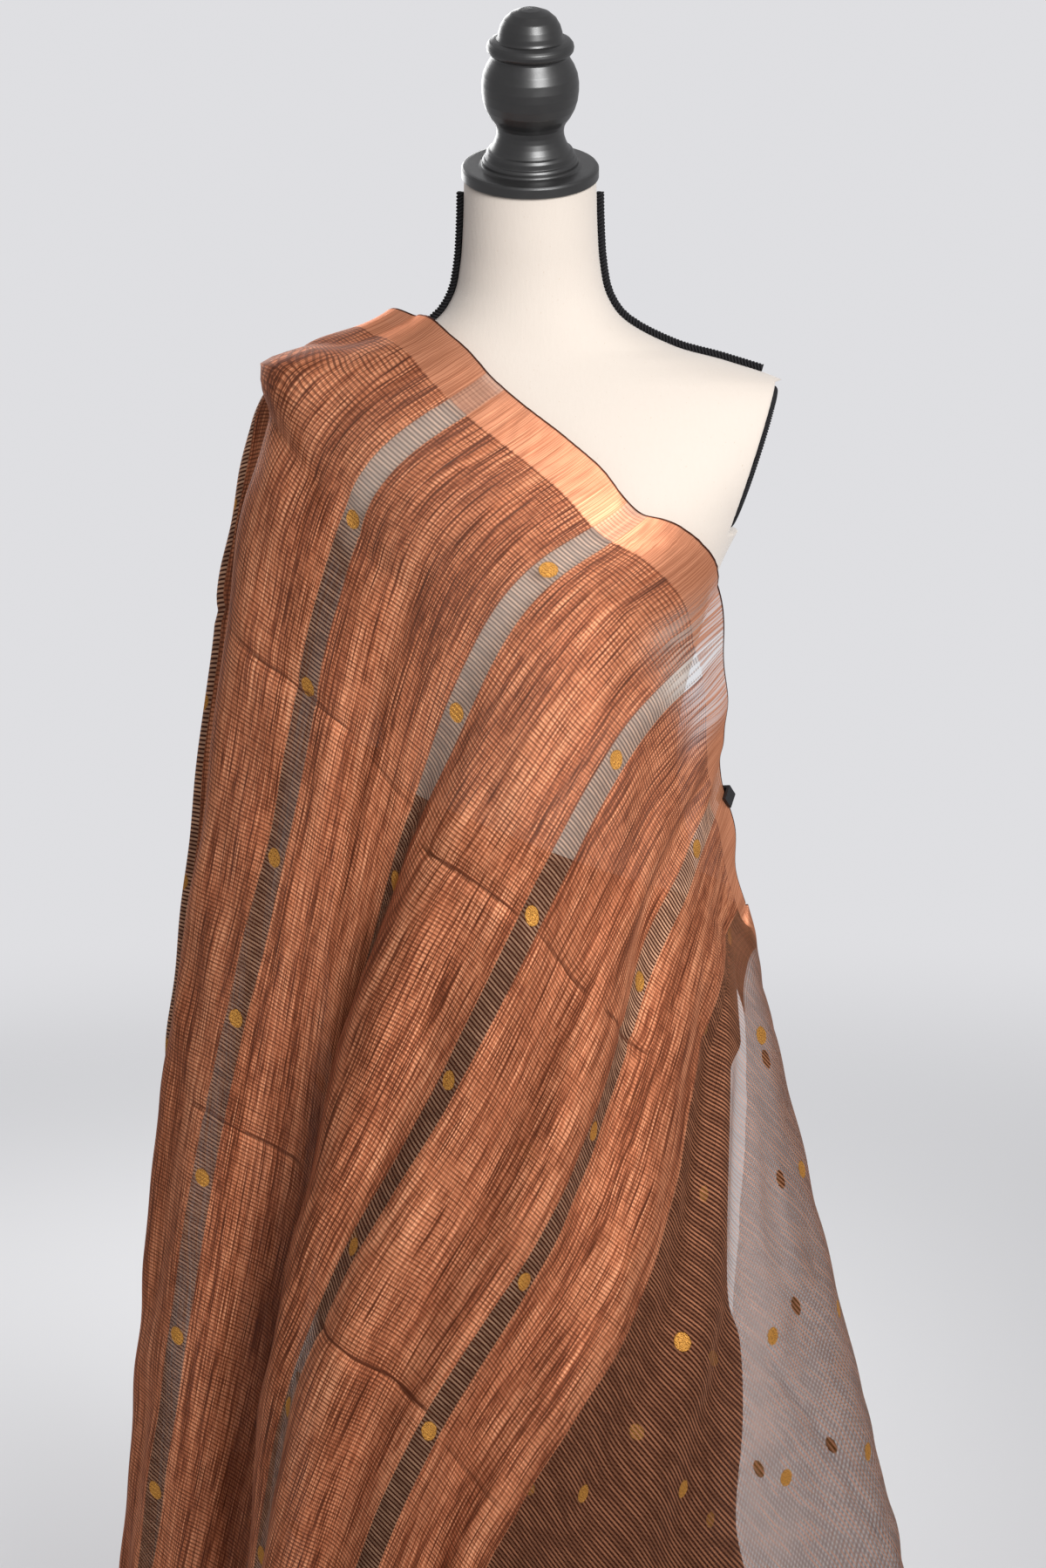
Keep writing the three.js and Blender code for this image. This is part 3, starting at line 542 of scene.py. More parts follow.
# The dress form: level sections from the hips to the neck, each with its height, half width,
# depth to the front and back of the centre, the centre's y, how square it is, and its tilt.
form = {
    "sections": [
        (768, 146, 102, 102, 0, 2.3, 0), (850, 151, 106, 106, 0, 2.3, 0),
        (930, 134, 97, 94, 0, 2.2, 0), (1010, 119, 91, 84, 0, 2.2, 0),
        (1060, 121, 96, 85, 0, 2.2, 0), (1120, 135, 114, 92, 0, 2.3, 0),
        (1172, 149, 125, 99, 0, 2.4, 0), (1215, 170, 121, 104, 0, 2.4, 0),
        (1262, 198, 104, 104, 0, 2.5, 0), (1300, 212, 88, 96, 0, 2.4, 0),
        (1323, 202, 76, 86, 0, 2.2, 0), (1340, 154, 67, 78, 0, 2.0, 0),
        (1350, 117, 62, 70, -1, 2.0, 0), (1370, 77, 57, 60, -3, 2.0, 0),
        (1390, 61, 53, 54, -6, 2.0, 2), (1414, 55, 51, 51, -10, 2.0, 6),
        (1445, 52.5, 50.5, 50.5, -16, 2.0, 13), (1482, 51.5, 50.5, 50.5, -22, 2.0, 20),
    ],
    "rows": [(768, 1200, 70), (1200, 1360, 110), (1360, 1482, 60)],     # from, to and how many
    "around": 240, "closing": [0.2, 0.6, 1.0],
    # the flat arm plates: x and z at their top and bottom, and half their depth
    "plateTop": (192, 1322), "plateBottom": (155, 1207), "plateHalf": 47, "noPlate": 1e6,
    # for cloth: the boards' thickness, the share of a clearance that goes up, and the top
    "boardOut": 3, "lift": 0.7, "top": 1480,
}
sectionTable = np.array(form["sections"], float)


# Half width, front and back depth, centre, squareness and tilt at the heights z.
def formSection(z):
    w = curveWeights(sectionTable[:, 0], np.ravel(z))
    return [(w @ sectionTable[:, k]).reshape(np.shape(z)) for k in range(1, 7)]


# The flat arm plate slants in a straight line from its top to its bottom. There is none below.
def plateX(z):
    (topX, topZ), (bottomX, bottomZ) = form["plateTop"], form["plateBottom"]
    x = bottomX + (topX - bottomX) * (z - bottomZ) / (topZ - bottomZ)
    return np.where(z < bottomZ, form["noPlate"], x)


# A point of the cover: x follows a power of the cosine and y of the sine of the turn, x stops at
# the flat arm plates, and the section leans by its tilt.
def formPoint(z, turn):
    half, front, back, centre, square, tilt = formSection(z)
    c, s = np.cos(turn), np.sin(turn)
    depth = np.where(s < 0, front, back)
    limit = np.where(z < form["plateTop"][1] + 2, plateX(z), form["noPlate"])
    x = np.sign(c) * np.minimum(half * np.abs(c) ** (2 / square), limit)
    across = np.sign(s) * depth * np.abs(s) ** (2 / square)
    lean = np.radians(tilt)
    return np.stack([x, centre + across * np.cos(lean), z + across * np.sin(lean)], axis=-1)


# Below 1 inside the form grown by a clearance, above 1 outside it: the superellipse's sum of
# powers at the point's height.
def formLevel(p, clearance, outside=9.0):
    x, y, z = p[..., 0], p[..., 1], p[..., 2]
    zz = np.clip(z - form["lift"] * clearance, sectionTable[0, 0], sectionTable[-1, 0])
    half, front, back, centre, square, tilt = formSection(zz)
    plate = plateX(np.minimum(z, form["plateTop"][1])) + form["boardOut"]
    half = np.minimum(half, plate) + clearance
    depth = np.where(y < centre, front, back) + clearance
    level = (np.abs(x) / half) ** square + (np.abs(y - centre) / depth) ** square
    return np.where(z > form["top"], outside, level)


# Points inside the grown form go up the level's steepest slope in short steps until they are out.
def pushOut(points, clearance, step=0.7, most=90):
    flat = points.reshape(-1, 3).copy()
    grow = np.broadcast_to(clearance, points.shape[:2]).ravel()
    level = formLevel(flat, grow)
    for n in range(most):
        inside = np.flatnonzero(level < 1)
        if len(inside) == 0:
            break
        p, c = flat[inside], grow[inside]
        slope = np.stack([formLevel(p + np.eye(3)[k], c) - level[inside] for k in range(3)], axis=-1)
        flat[inside] = p + step * slope / np.linalg.norm(slope, axis=-1, keepdims=True)
        level[inside] = formLevel(flat[inside], c)
    return flat.reshape(points.shape)


# The cover's sections from bottom to top, closed by rings drawn in to the middle of each end.
def buildForm():
    z = np.unique(np.concatenate([np.linspace(*rows) for rows in form["rows"]]))
    turn = np.linspace(0, 2 * np.pi, form["around"], endpoint=False)
    points = formPoint(z[:, None] + 0 * turn, turn[None, :] + 0 * z[:, None])
    closing = np.array(form["closing"])[:, None, None]
    low, high = points[:1], points[-1:]
    low = low + ([[0, 0, z[0]]] - low) * closing[::-1]
    high = high + (high.mean(axis=1, keepdims=True) - high) * closing
    points = np.concatenate([low, points, high])
    piece = gridPiece("formCover", np.swapaxes(points, 0, 1)[::-1], "linen_cover", wrapRows=True)
    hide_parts("form_body")


# Rope braids: how far the rope goes in one lay, a strand's radius, how far its middle lies from
# the rope's, and how far the rope lies off the cover or the board.
braid = {
    "strands": 3, "sides": 7, "stepsPerLay": 14,
    "aside": [0.1, 1.0, 0.05],                  # a section's first side is square to this
    "seam": {"lay": 8.0, "strand": 1.7, "offset": 1.8, "lift": 2.6},
    "seamHeights": [1471, 1455, 1440, 1425, 1412, 1400, 1391, 1384, 1377, 1371, 1365, 1360, 1355.5,
                    1351.5, 1348.5, 1345.5, 1343, 1340.5, 1338, 1335.5, 1333, 1331],
    # two ropes side by side cover the arm board's rim: place outwards, and size against the rim
    "arm": {"lay": 7.0, "strand": 1.6, "offset": 1.2, "ropes": [(2.9, 1.0), (-1.2, 1.05)]},
    "rimInset": 4, "rimBack": 2, "rimPoints": 60,
}


# Strands of round section wound about a path of points, each strand's middle turning round the
# path once a lay.
def buildBraid(name, path, closed, node, rope):
    ring = np.vstack([path, path[:1]]) if closed else path
    reach = np.concatenate([[0], np.cumsum(np.linalg.norm(np.diff(ring, axis=0), axis=1))])
    lays = max(1, round(reach[-1] / rope["lay"]))
    s = np.linspace(0, reach[-1], lays * braid["stepsPerLay"], endpoint=not closed)
    centre = np.stack([np.interp(s, reach, ring[:, k]) for k in range(3)], axis=-1)
    if closed:
        tangent = np.roll(centre, -1, axis=0) - np.roll(centre, 1, axis=0)
    else:
        tangent = np.gradient(centre, axis=0)
    tangent /= np.linalg.norm(tangent, axis=1, keepdims=True)
    side = np.cross(tangent, braid["aside"])
    side /= np.linalg.norm(side, axis=1, keepdims=True)
    other = np.cross(tangent, side)
    a = np.linspace(0, 2 * np.pi, braid["sides"], endpoint=False)[None, :, None]
    section = side[:, None, :] * np.cos(a) + other[:, None, :] * np.sin(a)
    for k in range(braid["strands"]):
        turn = 2 * np.pi * (s / reach[-1] * lays + k / braid["strands"])[:, None]
        middle = centre + rope["offset"] * (side * np.cos(turn) + other * np.sin(turn))
        tube = middle[:, None, :] + rope["strand"] * section
        piece = gridPiece(f"{name}Strand{k + 1}", tube[::-1], "black_braid",
                          wrapRows=closed, wrapColumns=True, caps=not closed)
        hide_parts(node)


# The shoulder seam follows the cover's side from the neck to the shoulder, lifted square to it.
def seamPath():
    z = np.array(braid["seamHeights"])
    here, above, below = (formPoint(z + dz, 0 * z) for dz in (0, 2, -2))
    slope = (above - below) / np.linalg.norm(above - below, axis=1, keepdims=True)
    out = np.stack([slope[:, 2], 0 * z, -slope[:, 0]], axis=-1)
    return here + out * braid["seam"]["lift"]


# The arm board's rim is an ellipse in the slanted plane of the board.
def rimPath():
    (topX, topZ), (bottomX, bottomZ) = form["plateTop"], form["plateBottom"]
    turn = np.linspace(0, 2 * np.pi, braid["rimPoints"], endpoint=False)
    reach = (topZ - bottomZ) / 2 - braid["rimInset"]
    z = (topZ + bottomZ) / 2 + reach * np.sin(turn)
    rim = np.stack([plateX(z), -form["plateHalf"] * np.cos(turn) + braid["rimBack"], z], axis=-1)
    outward = np.array([topZ - bottomZ, 0, bottomX - topX])
    return rim, outward / np.hypot(topX - bottomX, topZ - bottomZ)


def buildBraids():
    seam = seamPath()
    rim, outward = rimPath()
    middle = rim.mean(axis=0)
    for label, side in (("Left", -1), ("Right", 1)):
        flip = np.array([side, 1, 1])
        node = f"shoulder_braid_{label.lower()}"
        buildBraid("shoulderBraid" + label, seam * flip, False, node, braid["seam"])
        node = f"arm_braid_{label.lower()}"
        for row, (off, grow) in enumerate(braid["arm"]["ropes"]):
            ring = middle + (rim - middle) * grow + outward * off
            buildBraid(f"armBraid{label}{row + 1}", ring * flip, True, node, braid["arm"])


# The turned cap: radius and height along its own axis, tilted forward on the neck.
cap = {
    "profile": [
        (0, 0), (51.5, 0), (53.5, 1.2), (53.5, 8.2), (52.4, 9.7), (50, 10), (40, 10), (38, 10.6),
        (37.4, 12), (37.4, 14.4), (36.4, 16), (34.6, 16.6), (34.4, 18), (34.2, 20.6), (33, 22.6),
        (31, 23.6), (29.4, 26), (27.6, 30), (26.4, 34), (26, 38), (26.6, 42), (28.2, 45.5),
        (31.5, 50), (34.6, 56), (36.6, 62.5), (37.5, 70), (37.5, 76), (36.4, 83), (34, 89),
        (31, 94), (29.6, 96.4), (29.8, 98), (31.8, 99.4), (33.2, 101.4), (33.6, 103.8),
        (33.1, 106.2), (31.4, 108.4), (28.4, 109.6), (25.6, 110), (25, 111.4), (24.6, 115),
        (23, 120.4), (20, 125.6), (15, 130), (8, 132.8), (0, 133.5)],
    "around": 120, "step": 1.2,
    "centre": (0, -22, 1482.3), "tilt": 20,
}


# A profile of radius and height carried round the upright axis, with its own points kept and
# more put between them where they are further apart than step.
def lathe(profile, around, step):
    profile = np.array(profile, float)
    s = np.concatenate([[0], np.cumsum(np.linalg.norm(np.diff(profile, axis=0), axis=1))])
    t = np.unique(np.concatenate([s, np.arange(0, s[-1], step)]))
    radius, height = np.interp(t, s, profile[:, 0]), np.interp(t, s, profile[:, 1])
    a = np.linspace(0, 2 * np.pi, around, endpoint=False)[:, None]
    return np.stack([radius * np.cos(a), radius * np.sin(a), 0 * a + height], axis=-1)


def buildCap():
    lean = math.radians(cap["tilt"])
    c, s = math.cos(lean), math.sin(lean)
    turn = np.array([[1, 0, 0], [0, c, -s], [0, s, c]])
    points = lathe(cap["profile"], cap["around"], cap["step"]) @ turn.T + cap["centre"]
    piece = gridPiece("neckCap", points, "black_wood", wrapRows=True)
    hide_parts("neck_finial")


# The stand below the photograph's edge: a round base and a plain pole.
stand = {
    "base": [(0, 0), (168, 0), (172, 3), (172, 11), (170.5, 13.2), (168, 14), (140, 14.6), (104, 16.2),
             (74, 18.6), (54, 22), (47, 25), (45.4, 28), (44, 33), (38, 38), (34, 40.5), (30, 43),
             (28, 44), (0, 44)],
    "pole": [(0, 44.3), (16, 44.3), (16, 767.7), (0, 767.7)],
    "around": {"base": 140, "pole": 48}, "step": 4.0,
}


def buildStand():
    for name in ("base", "pole"):
        points = lathe(stand[name], stand["around"][name], stand["step"])
        piece = gridPiece("stand" + name.capitalize(), points, "black_wood", wrapRows=True)
        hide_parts("stand_" + name)


# The cloth's lines down its width, in order along its length. Each has its place along the
# length, then x, y and z where it passes the five weft stations. Where a line runs aslant to the
# weave, along and across give its place in the flat cloth at each station.
stations = [0, 158, 434, 710, 1150]
clothLines = [
    {"place": -830, "x": [112, 148, 169, 170, 170], "y": [112, 124, 132, 138, 142],
     "z": [1010, 850, 574, 298, 28]},
    {"place": -720, "x": [100, 92, 95, 98, 100], "y": [122, 142, 158, 168, 172],
     "z": [1050, 894, 620, 344, 28]},
    {"place": -600, "x": [62, 22, -6, -18, -24], "y": [122, 146, 164, 176, 184],
     "z": [1105, 955, 685, 412, 28]},
    {"place": -460, "x": [18, -52, -106, -132, -152], "y": [114, 138, 154, 170, 180],
     "z": [1188, 1048, 780, 508, 72]},
    {"place": -300, "x": [-40, -142, -206, -238, -264], "y": [90, 104, 112, 126, 138],
     "z": [1290, 1178, 908, 638, 204]},
    {"place": -210, "x": [-92, -202, -255, -286, -318], "y": [66, 66, 62, 70, 78],
     "z": [1346, 1256, 966, 692, 262]},
    {"place": -150, "x": [-117, -221, -274, -305, -338], "y": [38, 30, 14, 14, 24],
     "z": [1372, 1292, 988, 714, 284]},
    {"place": -105, "x": [-105, -212, -260, -303, -342], "y": [0, 0, -20, -8, 2],
     "z": [1380, 1301, 985, 711, 281]},
    {"place": -60, "x": [-69, -188, -248, -295, -342], "y": [-38, -60, -62, -38, -18],
     "z": [1365, 1266, 978, 706, 278]},
    {"place": 0, "x": [-26, -135, -200, -262, -332], "y": [-82, -92, -92, -78, -44],
     "z": [1325, 1222, 957, 694, 262]},
    {"place": 75, "x": [29, -80, -154, -201, -296], "y": [-102, -122, -100, -62, -60],
     "z": [1282, 1185, 919, 653, 232]},
    {"place": 110, "x": [54, -55, -135, -186, -276], "y": [-112, -132, -90, -52, -48],
     "z": [1262, 1163, 894, 627, 218]},
    {"place": 150, "x": [81, -27, -126, -181, -256], "y": [-122, -142, -90, -62, -40],
     "z": [1232, 1140, 871, 596, 206]},
    {"place": 200, "x": [112, 4, -134, -195, -244], "y": [-100, -148, -128, -104, -70],
     "z": [1217, 1109, 856, 578, 190]},
    {"place": 250, "x": [141, 34, -101, -199, -246], "y": [-66, -146, -158, -150, -114],
     "z": [1182, 1076, 837, 561, 170]},
    {"place": 300, "x": [155, 66, -62, -194, -252], "y": [-34, -138, -178, -192, -165],
     "z": [1122, 1042, 800, 543, 150]},
    {"place": 375, "x": [156, 92, -18, -149, -266], "y": [-14, -118, -194, -224, -228],
     "z": [1048, 979, 753, 513, 118]},
    {"place": 450, "x": [155, 113, 27, -106, -238], "y": [-4, -94, -190, -234, -270],
     "z": [1006, 914, 703, 480, 92]},
    {"place": 500, "x": [165, 131, 56, -78, -200], "y": [4, -70, -182, -238, -286],
     "z": [962, 878, 664, 444, 66]},
    {"place": 550, "x": [173, 148, 88, -48, -155], "y": [8, -42, -166, -240, -296],
     "z": [908, 850, 627, 405, 42]},
    {"place": 650, "x": [178, 184, 186, 140, 118], "y": [7, -26, -84, -138, -196],
     "z": [899, 806, 556, 330, 28],
     "along": [548, 594, 672, 758, 840], "across": [0, 154, 376, 565, 815]},
    {"place": 750, "x": [179, 208, 274, 332, 386], "y": [20, 17, 16, 16, 15],
     "z": [890, 764, 500, 260, 28],
     "along": [545, 635, 795, 965, 1130], "across": [0, 150, 318, 420, 530]},
    {"place": 830, "x": [172, 204, 232, 252, 268], "y": [46, 76, 92, 110, 122],
     "z": [892, 758, 510, 264, 28],
     "along": [570, 662, 840, 1025, 1220], "across": [0, 100, 238, 312, 372]},
    {"place": 890, "x": [152, 184, 175, 160, 132], "y": [66, 100, 110, 126, 140],
     "z": [894, 750, 518, 268, 28],
     "along": [590, 694, 888, 1089, 1310], "across": [0, 50, 155, 202, 214]},
]
linePlaces = [row["place"] for row in clothLines]

# Over the back the lines stand for less cloth than their places say.
backPlaces = {
    "place": [-830, -720, -600, -460, -300, -210, -150, -105],
    "along": [-700, -590, -478, -364, -255, -196, -150, -105],
}

# Soft folds: place at the top and the bottom end, the stations where the fold starts and ends,
# its half width and how far it stands out.
folds = [
    (-118, -122, 0.5, 4.4, 22, -11), (-86, -70, 0.9, 4.4, 24, 5), (-30, 20, 0.2, 1.9, 26, 3),
    (30, 45, 1.4, 4.4, 30, 5), (60, 80, 0.9, 2.6, 20, -5), (215, 262, 1.3, 3.4, 26, 9),
    (262, 330, 1.5, 4.4, 24, -10), (300, 385, 1.5, 4.4, 28, 8), (345, 440, 1.2, 4.4, 26, -12),
    (385, 500, 1.0, 4.4, 26, 9), (432, 545, 0.7, 4.4, 22, -11), (412, 425, 0.2, 1.5, 18, -9),
    (380, 395, 0.2, 1.4, 18, 6), (500, 575, 0.6, 4.4, 22, 7), (560, 600, 0.8, 3.4, 14, -8),
    (588, 628, 0.9, 4.4, 15, 7), (612, 662, 1.0, 4.4, 16, -8), (650, 700, 1.4, 4.4, 22, 5),
    (-190, -200, 0.5, 4.4, 26, 5), (-240, -250, 0.1, 4.4, 30, -12), (-300, -310, 0.1, 4.4, 30, 11),
    (-365, -372, 0.1, 4.4, 32, -14), (-430, -440, 0.1, 4.4, 34, 12), (-500, -505, 0.0, 4.4, 34, -16),
    (-565, -572, 0.0, 4.4, 34, 14), (-632, -640, 0.0, 4.4, 34, -16), (-695, -700, 0.0, 4.4, 32, 14),
    (-760, -765, 0.0, 4.4, 30, -12),
]

# Soft waves that the cloth keeps: their length, heading in degrees and height. Crests wander by
# an angle over a length, and the height swells over two lengths and from wave to wave.
waves = {
    "rows": [(64, 8, 1.1), (47, -27, 0.8), (91, 34, 1.3), (38, 15, 0.5), (73, -50, 0.7)],
    "wanderAside": (1.9, 71), "wanderAhead": (1.1, 113),
    "swellAside": 57, "swellAhead": 143, "swellStep": 1.7,
}

# The two sheets meet over the shoulder. flat is the cut that shows, in metres.
drape = {
    "formClearance": 11, "hem": 28, "rowStep": 4.8,
    # more clearance at the form's sharp corners: from which x and height on, and over how far
    "cornerClearance": 7, "cornerX": (140, 40), "cornerZ": (1222, 30),
    "sheets": {
        "sareeFront": {"from": -105, "to": 890, "step": 3.6, "cloth": "copper_tissue",
                       "nodes": ["pallu_front", "body_front", "body_return"], "flat": (1.15, 1.42)},
        "palluBack": {"from": -830, "to": -105, "step": 4.8, "cloth": "back_tissue",
                      "nodes": ["pallu_back"], "flat": (1.15, 0.60)},
    },
}


# A grid of points from the table of lines: curves along the length and then down the width.
def linePoints(place, station):
    alongW = curveWeights(linePlaces, place)
    downW = curveWeights(range(5), station)
    axes = [alongW @ np.array([row[axis] for row in clothLines], float) @ downW.T for axis in "xyz"]
    return np.stack(axes, axis=-1)


# The same grid's place in the flat cloth: along the warp and down from the top selvage.
def flatPlaces(place, station):
    level = [np.interp(at, backPlaces["place"], backPlaces["along"])
             if at < backPlaces["place"][-1] else at for at in linePlaces]
    along = np.array([row.get("along", [u] * 5) for row, u in zip(clothLines, level)], float)
    across = np.array([row.get("across", stations) for row in clothLines], float)
    alongW = curveWeights(linePlaces, place)
    downW = curveWeights(range(5), station)
    return np.stack([alongW @ along @ downW.T, alongW @ across @ downW.T], axis=-1)


# Square to both of the grid's directions.
def gridNormals(points):
    normal = np.cross(np.gradient(points, axis=1), np.gradient(points, axis=0))
    return normal / np.maximum(np.linalg.norm(normal, axis=-1, keepdims=True), 1e-9)


# Each fold is a hump across, whose middle goes in a straight line from its top to its bottom
# place, and which fades in and out at its ends.
def foldHeights(place, station, fadeIn=0.6, fadeOut=0.4, spread=1.6):
    p, t = place[:, None], station[None, :]
    height = np.zeros((len(place), len(station)))
    for top, bottom, start, end, half, out in folds:
        middle = top + (bottom - top) * np.clip((t - start) / (end - start), 0, 1)
        fade = softStep((t - start) / fadeIn) * softStep((end - t) / fadeOut)
        height += out * fade * softHump(p - middle, spread * half)
    return height


# Each wave is a sine along its heading. Its crests wander, and its height comes and goes, with
# slower waves of other headings.
def waveHeights(uv):
    height = np.zeros(uv.shape[:2])
    (asideBy, asideOver), (aheadBy, aheadOver) = waves["wanderAside"], waves["wanderAhead"]
    for n, (length, heading, tall) in enumerate(waves["rows"]):
        angle = math.radians(heading)
        ahead = uv[..., 0] * math.cos(angle) + uv[..., 1] * math.sin(angle)
        aside = uv[..., 1] * math.cos(angle) - uv[..., 0] * math.sin(angle)
        wander = asideBy * np.sin(aside / asideOver + n)
        wander = wander + aheadBy * np.sin(ahead / aheadOver + 2 * n)
        slow = aside / waves["swellAside"] + ahead / waves["swellAhead"] + waves["swellStep"] * n
        height += tall * (1 + np.sin(slow)) / 2 * np.sin(2 * np.pi * ahead / length + wander)
    return height


# Each crease is a narrow hollow across.
def creaseHeights(uv):
    height = np.zeros(uv.shape[:2])
    for crease in creases:
        off, depth = creaseAt(uv, crease)
        height -= depth * softHump(off, crease[5])
    return height


# The grid of lines, moved along its normals by folds, creases and waves, then kept above the hem
# and off the form.
def clothSurface(place, station, uv):
    points = linePoints(place, station)
    height = foldHeights(place, station) + creaseHeights(uv) + waveHeights(uv)
    points = points + gridNormals(points) * height[..., None]
    points[..., 2] = np.maximum(points[..., 2], drape["hem"])
    (fromX, overX), (fromZ, overZ) = drape["cornerX"], drape["cornerZ"]
    corner = softStep((np.abs(points[..., 0]) - fromX) / overX)
    corner = corner * softStep((points[..., 2] - fromZ) / overZ)
    return pushOut(points, drape["formClearance"] + drape["cornerClearance"] * corner)


def buildSheet(name, sheet):
    first, last = sheet["from"], sheet["to"]
    place = np.linspace(first, last, round((last - first) / sheet["step"]) + 1)
    down = np.linspace(0, stations[-1], round(stations[-1] / drape["rowStep"]) + 1)
    station = np.interp(down, stations, range(5))
    uv = flatPlaces(place, station)
    points = clothSurface(place, station, uv)
    piece = gridPiece(name, points, "copper_tissue", uv, cloth=sheet["cloth"])
    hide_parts(*sheet["nodes"])


# The turns round the waist: their top slopes from left to right, and half width and depth are
# given at distances down from it. At the right the top stands out to hold the front sheet.
turns = {
    "topLeft": 1030, "topRight": 912, "around": 300, "rows": 200,
    "drop": [0, 70, 128, 148, 300, 350, 380, 450, 540, 600, 880],
    "half": [150, 158, 163, 165, 163, 165, 174, 177, 172, 182, 188],
    "depth": [110, 115, 117, 118, 119, 120, 121, 121, 122, 123, 127],
    "ripples": 9, "rippleHeight": 3, "hemUp": 6, "inset": 1,
    "tuck": {"angle": 12, "spread": 34, "out": 13, "drop": 138, "hem": 10},
    "startAlong": 1500, "startAcross": 120,     # where the turns start in the flat cloth
    "girthHalf": 160, "girthDepth": 121, "flatWidth": 0.97,
}


# Ellipses, whose size follows the distance down, with soft ripples that grow towards the hem.
def buildWaistTurns():
    tuck = turns["tuck"]
    a = (np.linspace(0, 2 * np.pi, turns["around"], endpoint=False) - np.pi)[:, None]
    drop = np.linspace(0, turns["drop"][-1], turns["rows"])[None, :]
    t = drop / turns["drop"][-1]
    w = curveWeights(turns["drop"], drop.ravel())
    half = (w @ np.array(turns["half"], float))[None, :]
    depth = (w @ np.array(turns["depth"], float))[None, :]
    top = turns["topLeft"] + (turns["topRight"] - turns["topLeft"]) * (1 + np.cos(a)) / 2
    z = top + (drape["hem"] + turns["hemUp"] - top) * t
    out = tuck["out"] * softHump(np.degrees(a) - tuck["angle"], tuck["spread"])
    out = out * (1 - softStep((drop - tuck["drop"] + tuck["hem"]) / (2 * tuck["hem"])))
    grow = turns["rippleHeight"] * t * np.cos(turns["ripples"] * a) + out - turns["inset"]
    points = np.stack([(half + grow) * np.cos(a), (depth + grow) * np.sin(a), z + 0 * grow], axis=-1)
    girth = 2 * np.pi * math.sqrt((turns["girthHalf"]**2 + turns["girthDepth"]**2) / 2)
    along = turns["startAlong"] + girth * a / (2 * np.pi) + 0 * t
    uv = np.stack([along, turns["startAcross"] + (top - z)], axis=-1)
    piece = gridPiece("waistTurns", points[::-1], "sheer_tissue", uv[::-1], wrapRows=True)
    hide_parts("waist_wrap")


# The solids that stay get the scene's materials.
keptSolids = {
    "arm_board_left": "linen_cover", "arm_board_right": "linen_cover", "side_clip": "black_steel",
}


def keepSolids():
    for node, slot in keptSolids.items():
        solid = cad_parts[node]
        solid.data.materials.clear()
        solid.data.materials.append(materials[slot])


buildForm()
print("form cover")
buildBraids()
buildCap()
buildStand()
print("braids, cap and stand")
for sheetName, sheetRow in drape["sheets"].items():
    buildSheet(sheetName, sheetRow)
buildWaistTurns()
keepSolids()
print("cloth")


# Wall, floor and lights. The wall is seen brighter than the light that it gives. The floor fades
# out between two radii. A light has its place, what it aims at, its size, power and spread.
studio = {
    "wallSeen": 0.92, "wallGiven": 0.50,
    "floorRings": [0.001, 1500, 3000, 4500], "floorAround": 96, "floorDrop": 0.2,
    "fadeFrom": 1300.0, "fadeTo": 4200.0,
    "lights": {
        "keyLight": {"place": (0.95, -2.2, 1.9), "aim": (0.12, -0.1, 1.14),
                     "size": 1.4, "power": 11.8, "spread": 50},
        "backLight": {"place": (-0.9, 2.2, 2.0), "aim": (0, 0, 0.9),
                      "size": 1.6, "power": 34, "spread": 180},
    },
}


def buildWorld():
    world = bpy.data.worlds.new("studio")
    bpy.context.scene.world = world
    world.use_nodes = True
    tree = world.node_tree
    seen = tree.nodes["Background"]
    given = tree.nodes.new("ShaderNodeBackground")
    for background, strength in ((seen, studio["wallSeen"]), (given, studio["wallGiven"])):
        background.inputs[0].default_value = (*palette["wall"], 1)
        background.inputs[1].default_value = strength
    path = tree.nodes.new("ShaderNodeLightPath")
    both = tree.nodes.new("ShaderNodeMixShader")
    tree.links.new(path.outputs["Is Camera Ray"], both.inputs[0])
    tree.links.new(given.outputs[0], both.inputs[1])
    tree.links.new(seen.outputs[0], both.inputs[2])
    tree.links.new(both.outputs[0], tree.nodes["World Output"].inputs[0])


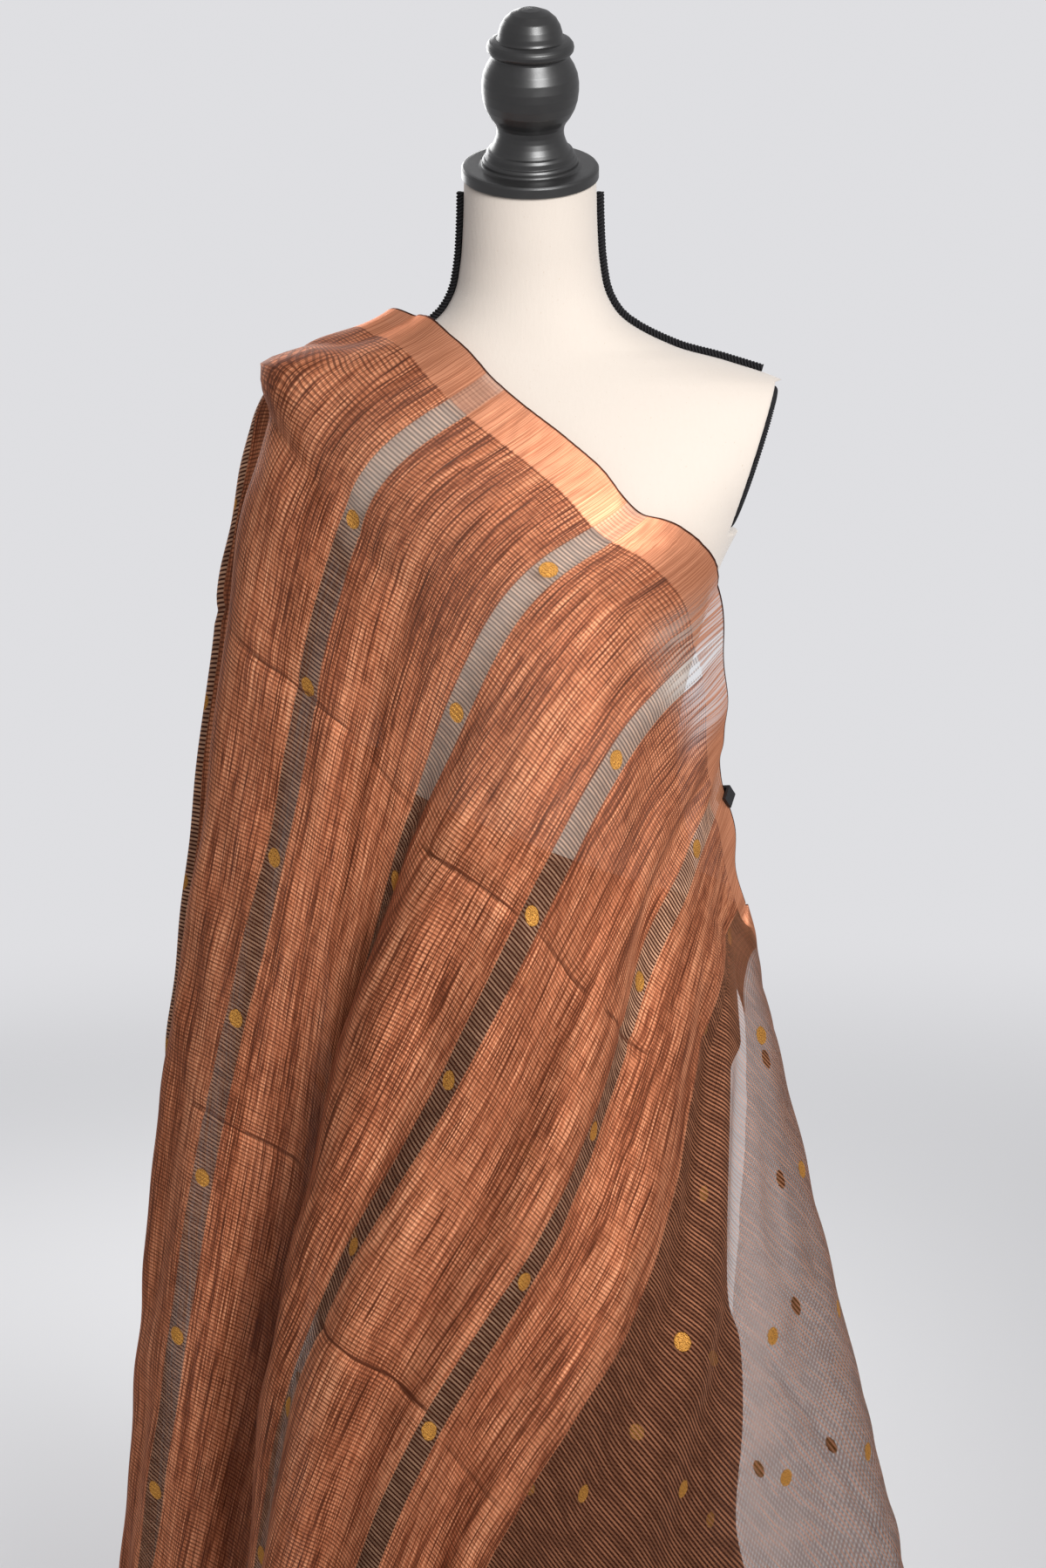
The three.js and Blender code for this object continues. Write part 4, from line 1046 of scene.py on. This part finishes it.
def buildFloor():
    g = ShaderGraph("paleFloor")
    x, y = g.place()[:2]
    far = ((x * x + y * y) ** 0.5).rise(studio["fadeFrom"], studio["fadeTo"])
    matt = g.node("ShaderNodeBsdfDiffuse", None, {"Color": palette["floor"]})
    empty = g.node("ShaderNodeBsdfTransparent")
    mixed = g.node("ShaderNodeMixShader", None, [far, matt, empty])
    g.tree.links.new(mixed.socket, g.output.inputs["Surface"])
    around = studio["floorAround"]
    a = np.linspace(0, 2 * np.pi, around, endpoint=False)
    r = np.array(studio["floorRings"])[:, None]
    points = np.stack([r * np.cos(a), r * np.sin(a), 0 * r * a - studio["floorDrop"]], axis=-1)
    index = np.arange(len(r) * around).reshape(len(r), around)
    index = np.hstack([index, index[:, :1]])
    mesh = bpy.data.meshes.new("paleFloor")
    mesh.from_pydata((points.reshape(-1, 3) * mm).tolist(), [], gridQuads(index))
    mesh.materials.append(g.material)
    floor = bpy.data.objects.new("paleFloor", mesh)
    bpy.context.scene.collection.objects.link(floor)


def buildLights():
    for name, row in studio["lights"].items():
        light = bpy.data.lights.new(name, "AREA")
        light.size = row["size"]
        light.spread = math.radians(row["spread"])
        light.energy = row["power"]
        lamp = bpy.data.objects.new(name, light)
        lamp.location = row["place"]
        direction = np.array(row["aim"], float) - np.array(row["place"], float)
        lamp.rotation_euler = (
            math.acos(-direction[2] / np.linalg.norm(direction)), 0,
            math.atan2(direction[1], direction[0]) - math.pi / 2)
        bpy.context.scene.collection.objects.link(lamp)


# The photograph's view: the lens and the film's height in millimetres, the eye in metres and how
# many degrees it looks down.
view = {"lens": 78.19, "sensor": 36, "eye": (-0.0056, -2.7123, 1.4539), "down": 9.5}


def buildCamera():
    camera = bpy.data.cameras.new("camera")
    camera.sensor_fit = "VERTICAL"
    camera.sensor_height = view["sensor"]
    camera.lens = view["lens"]
    holder = bpy.data.objects.new("camera", camera)
    holder.location = view["eye"]
    holder.rotation_euler = (math.radians(90 - view["down"]), 0, 0)
    bpy.context.scene.collection.objects.link(holder)
    bpy.context.scene.camera = holder


buildWorld()
buildFloor()
buildLights()
buildCamera()
bpy.context.scene.cycles.transparent_max_bounces = 24
bpy.context.scene.view_settings.view_transform = "Standard"
print("studio and camera")
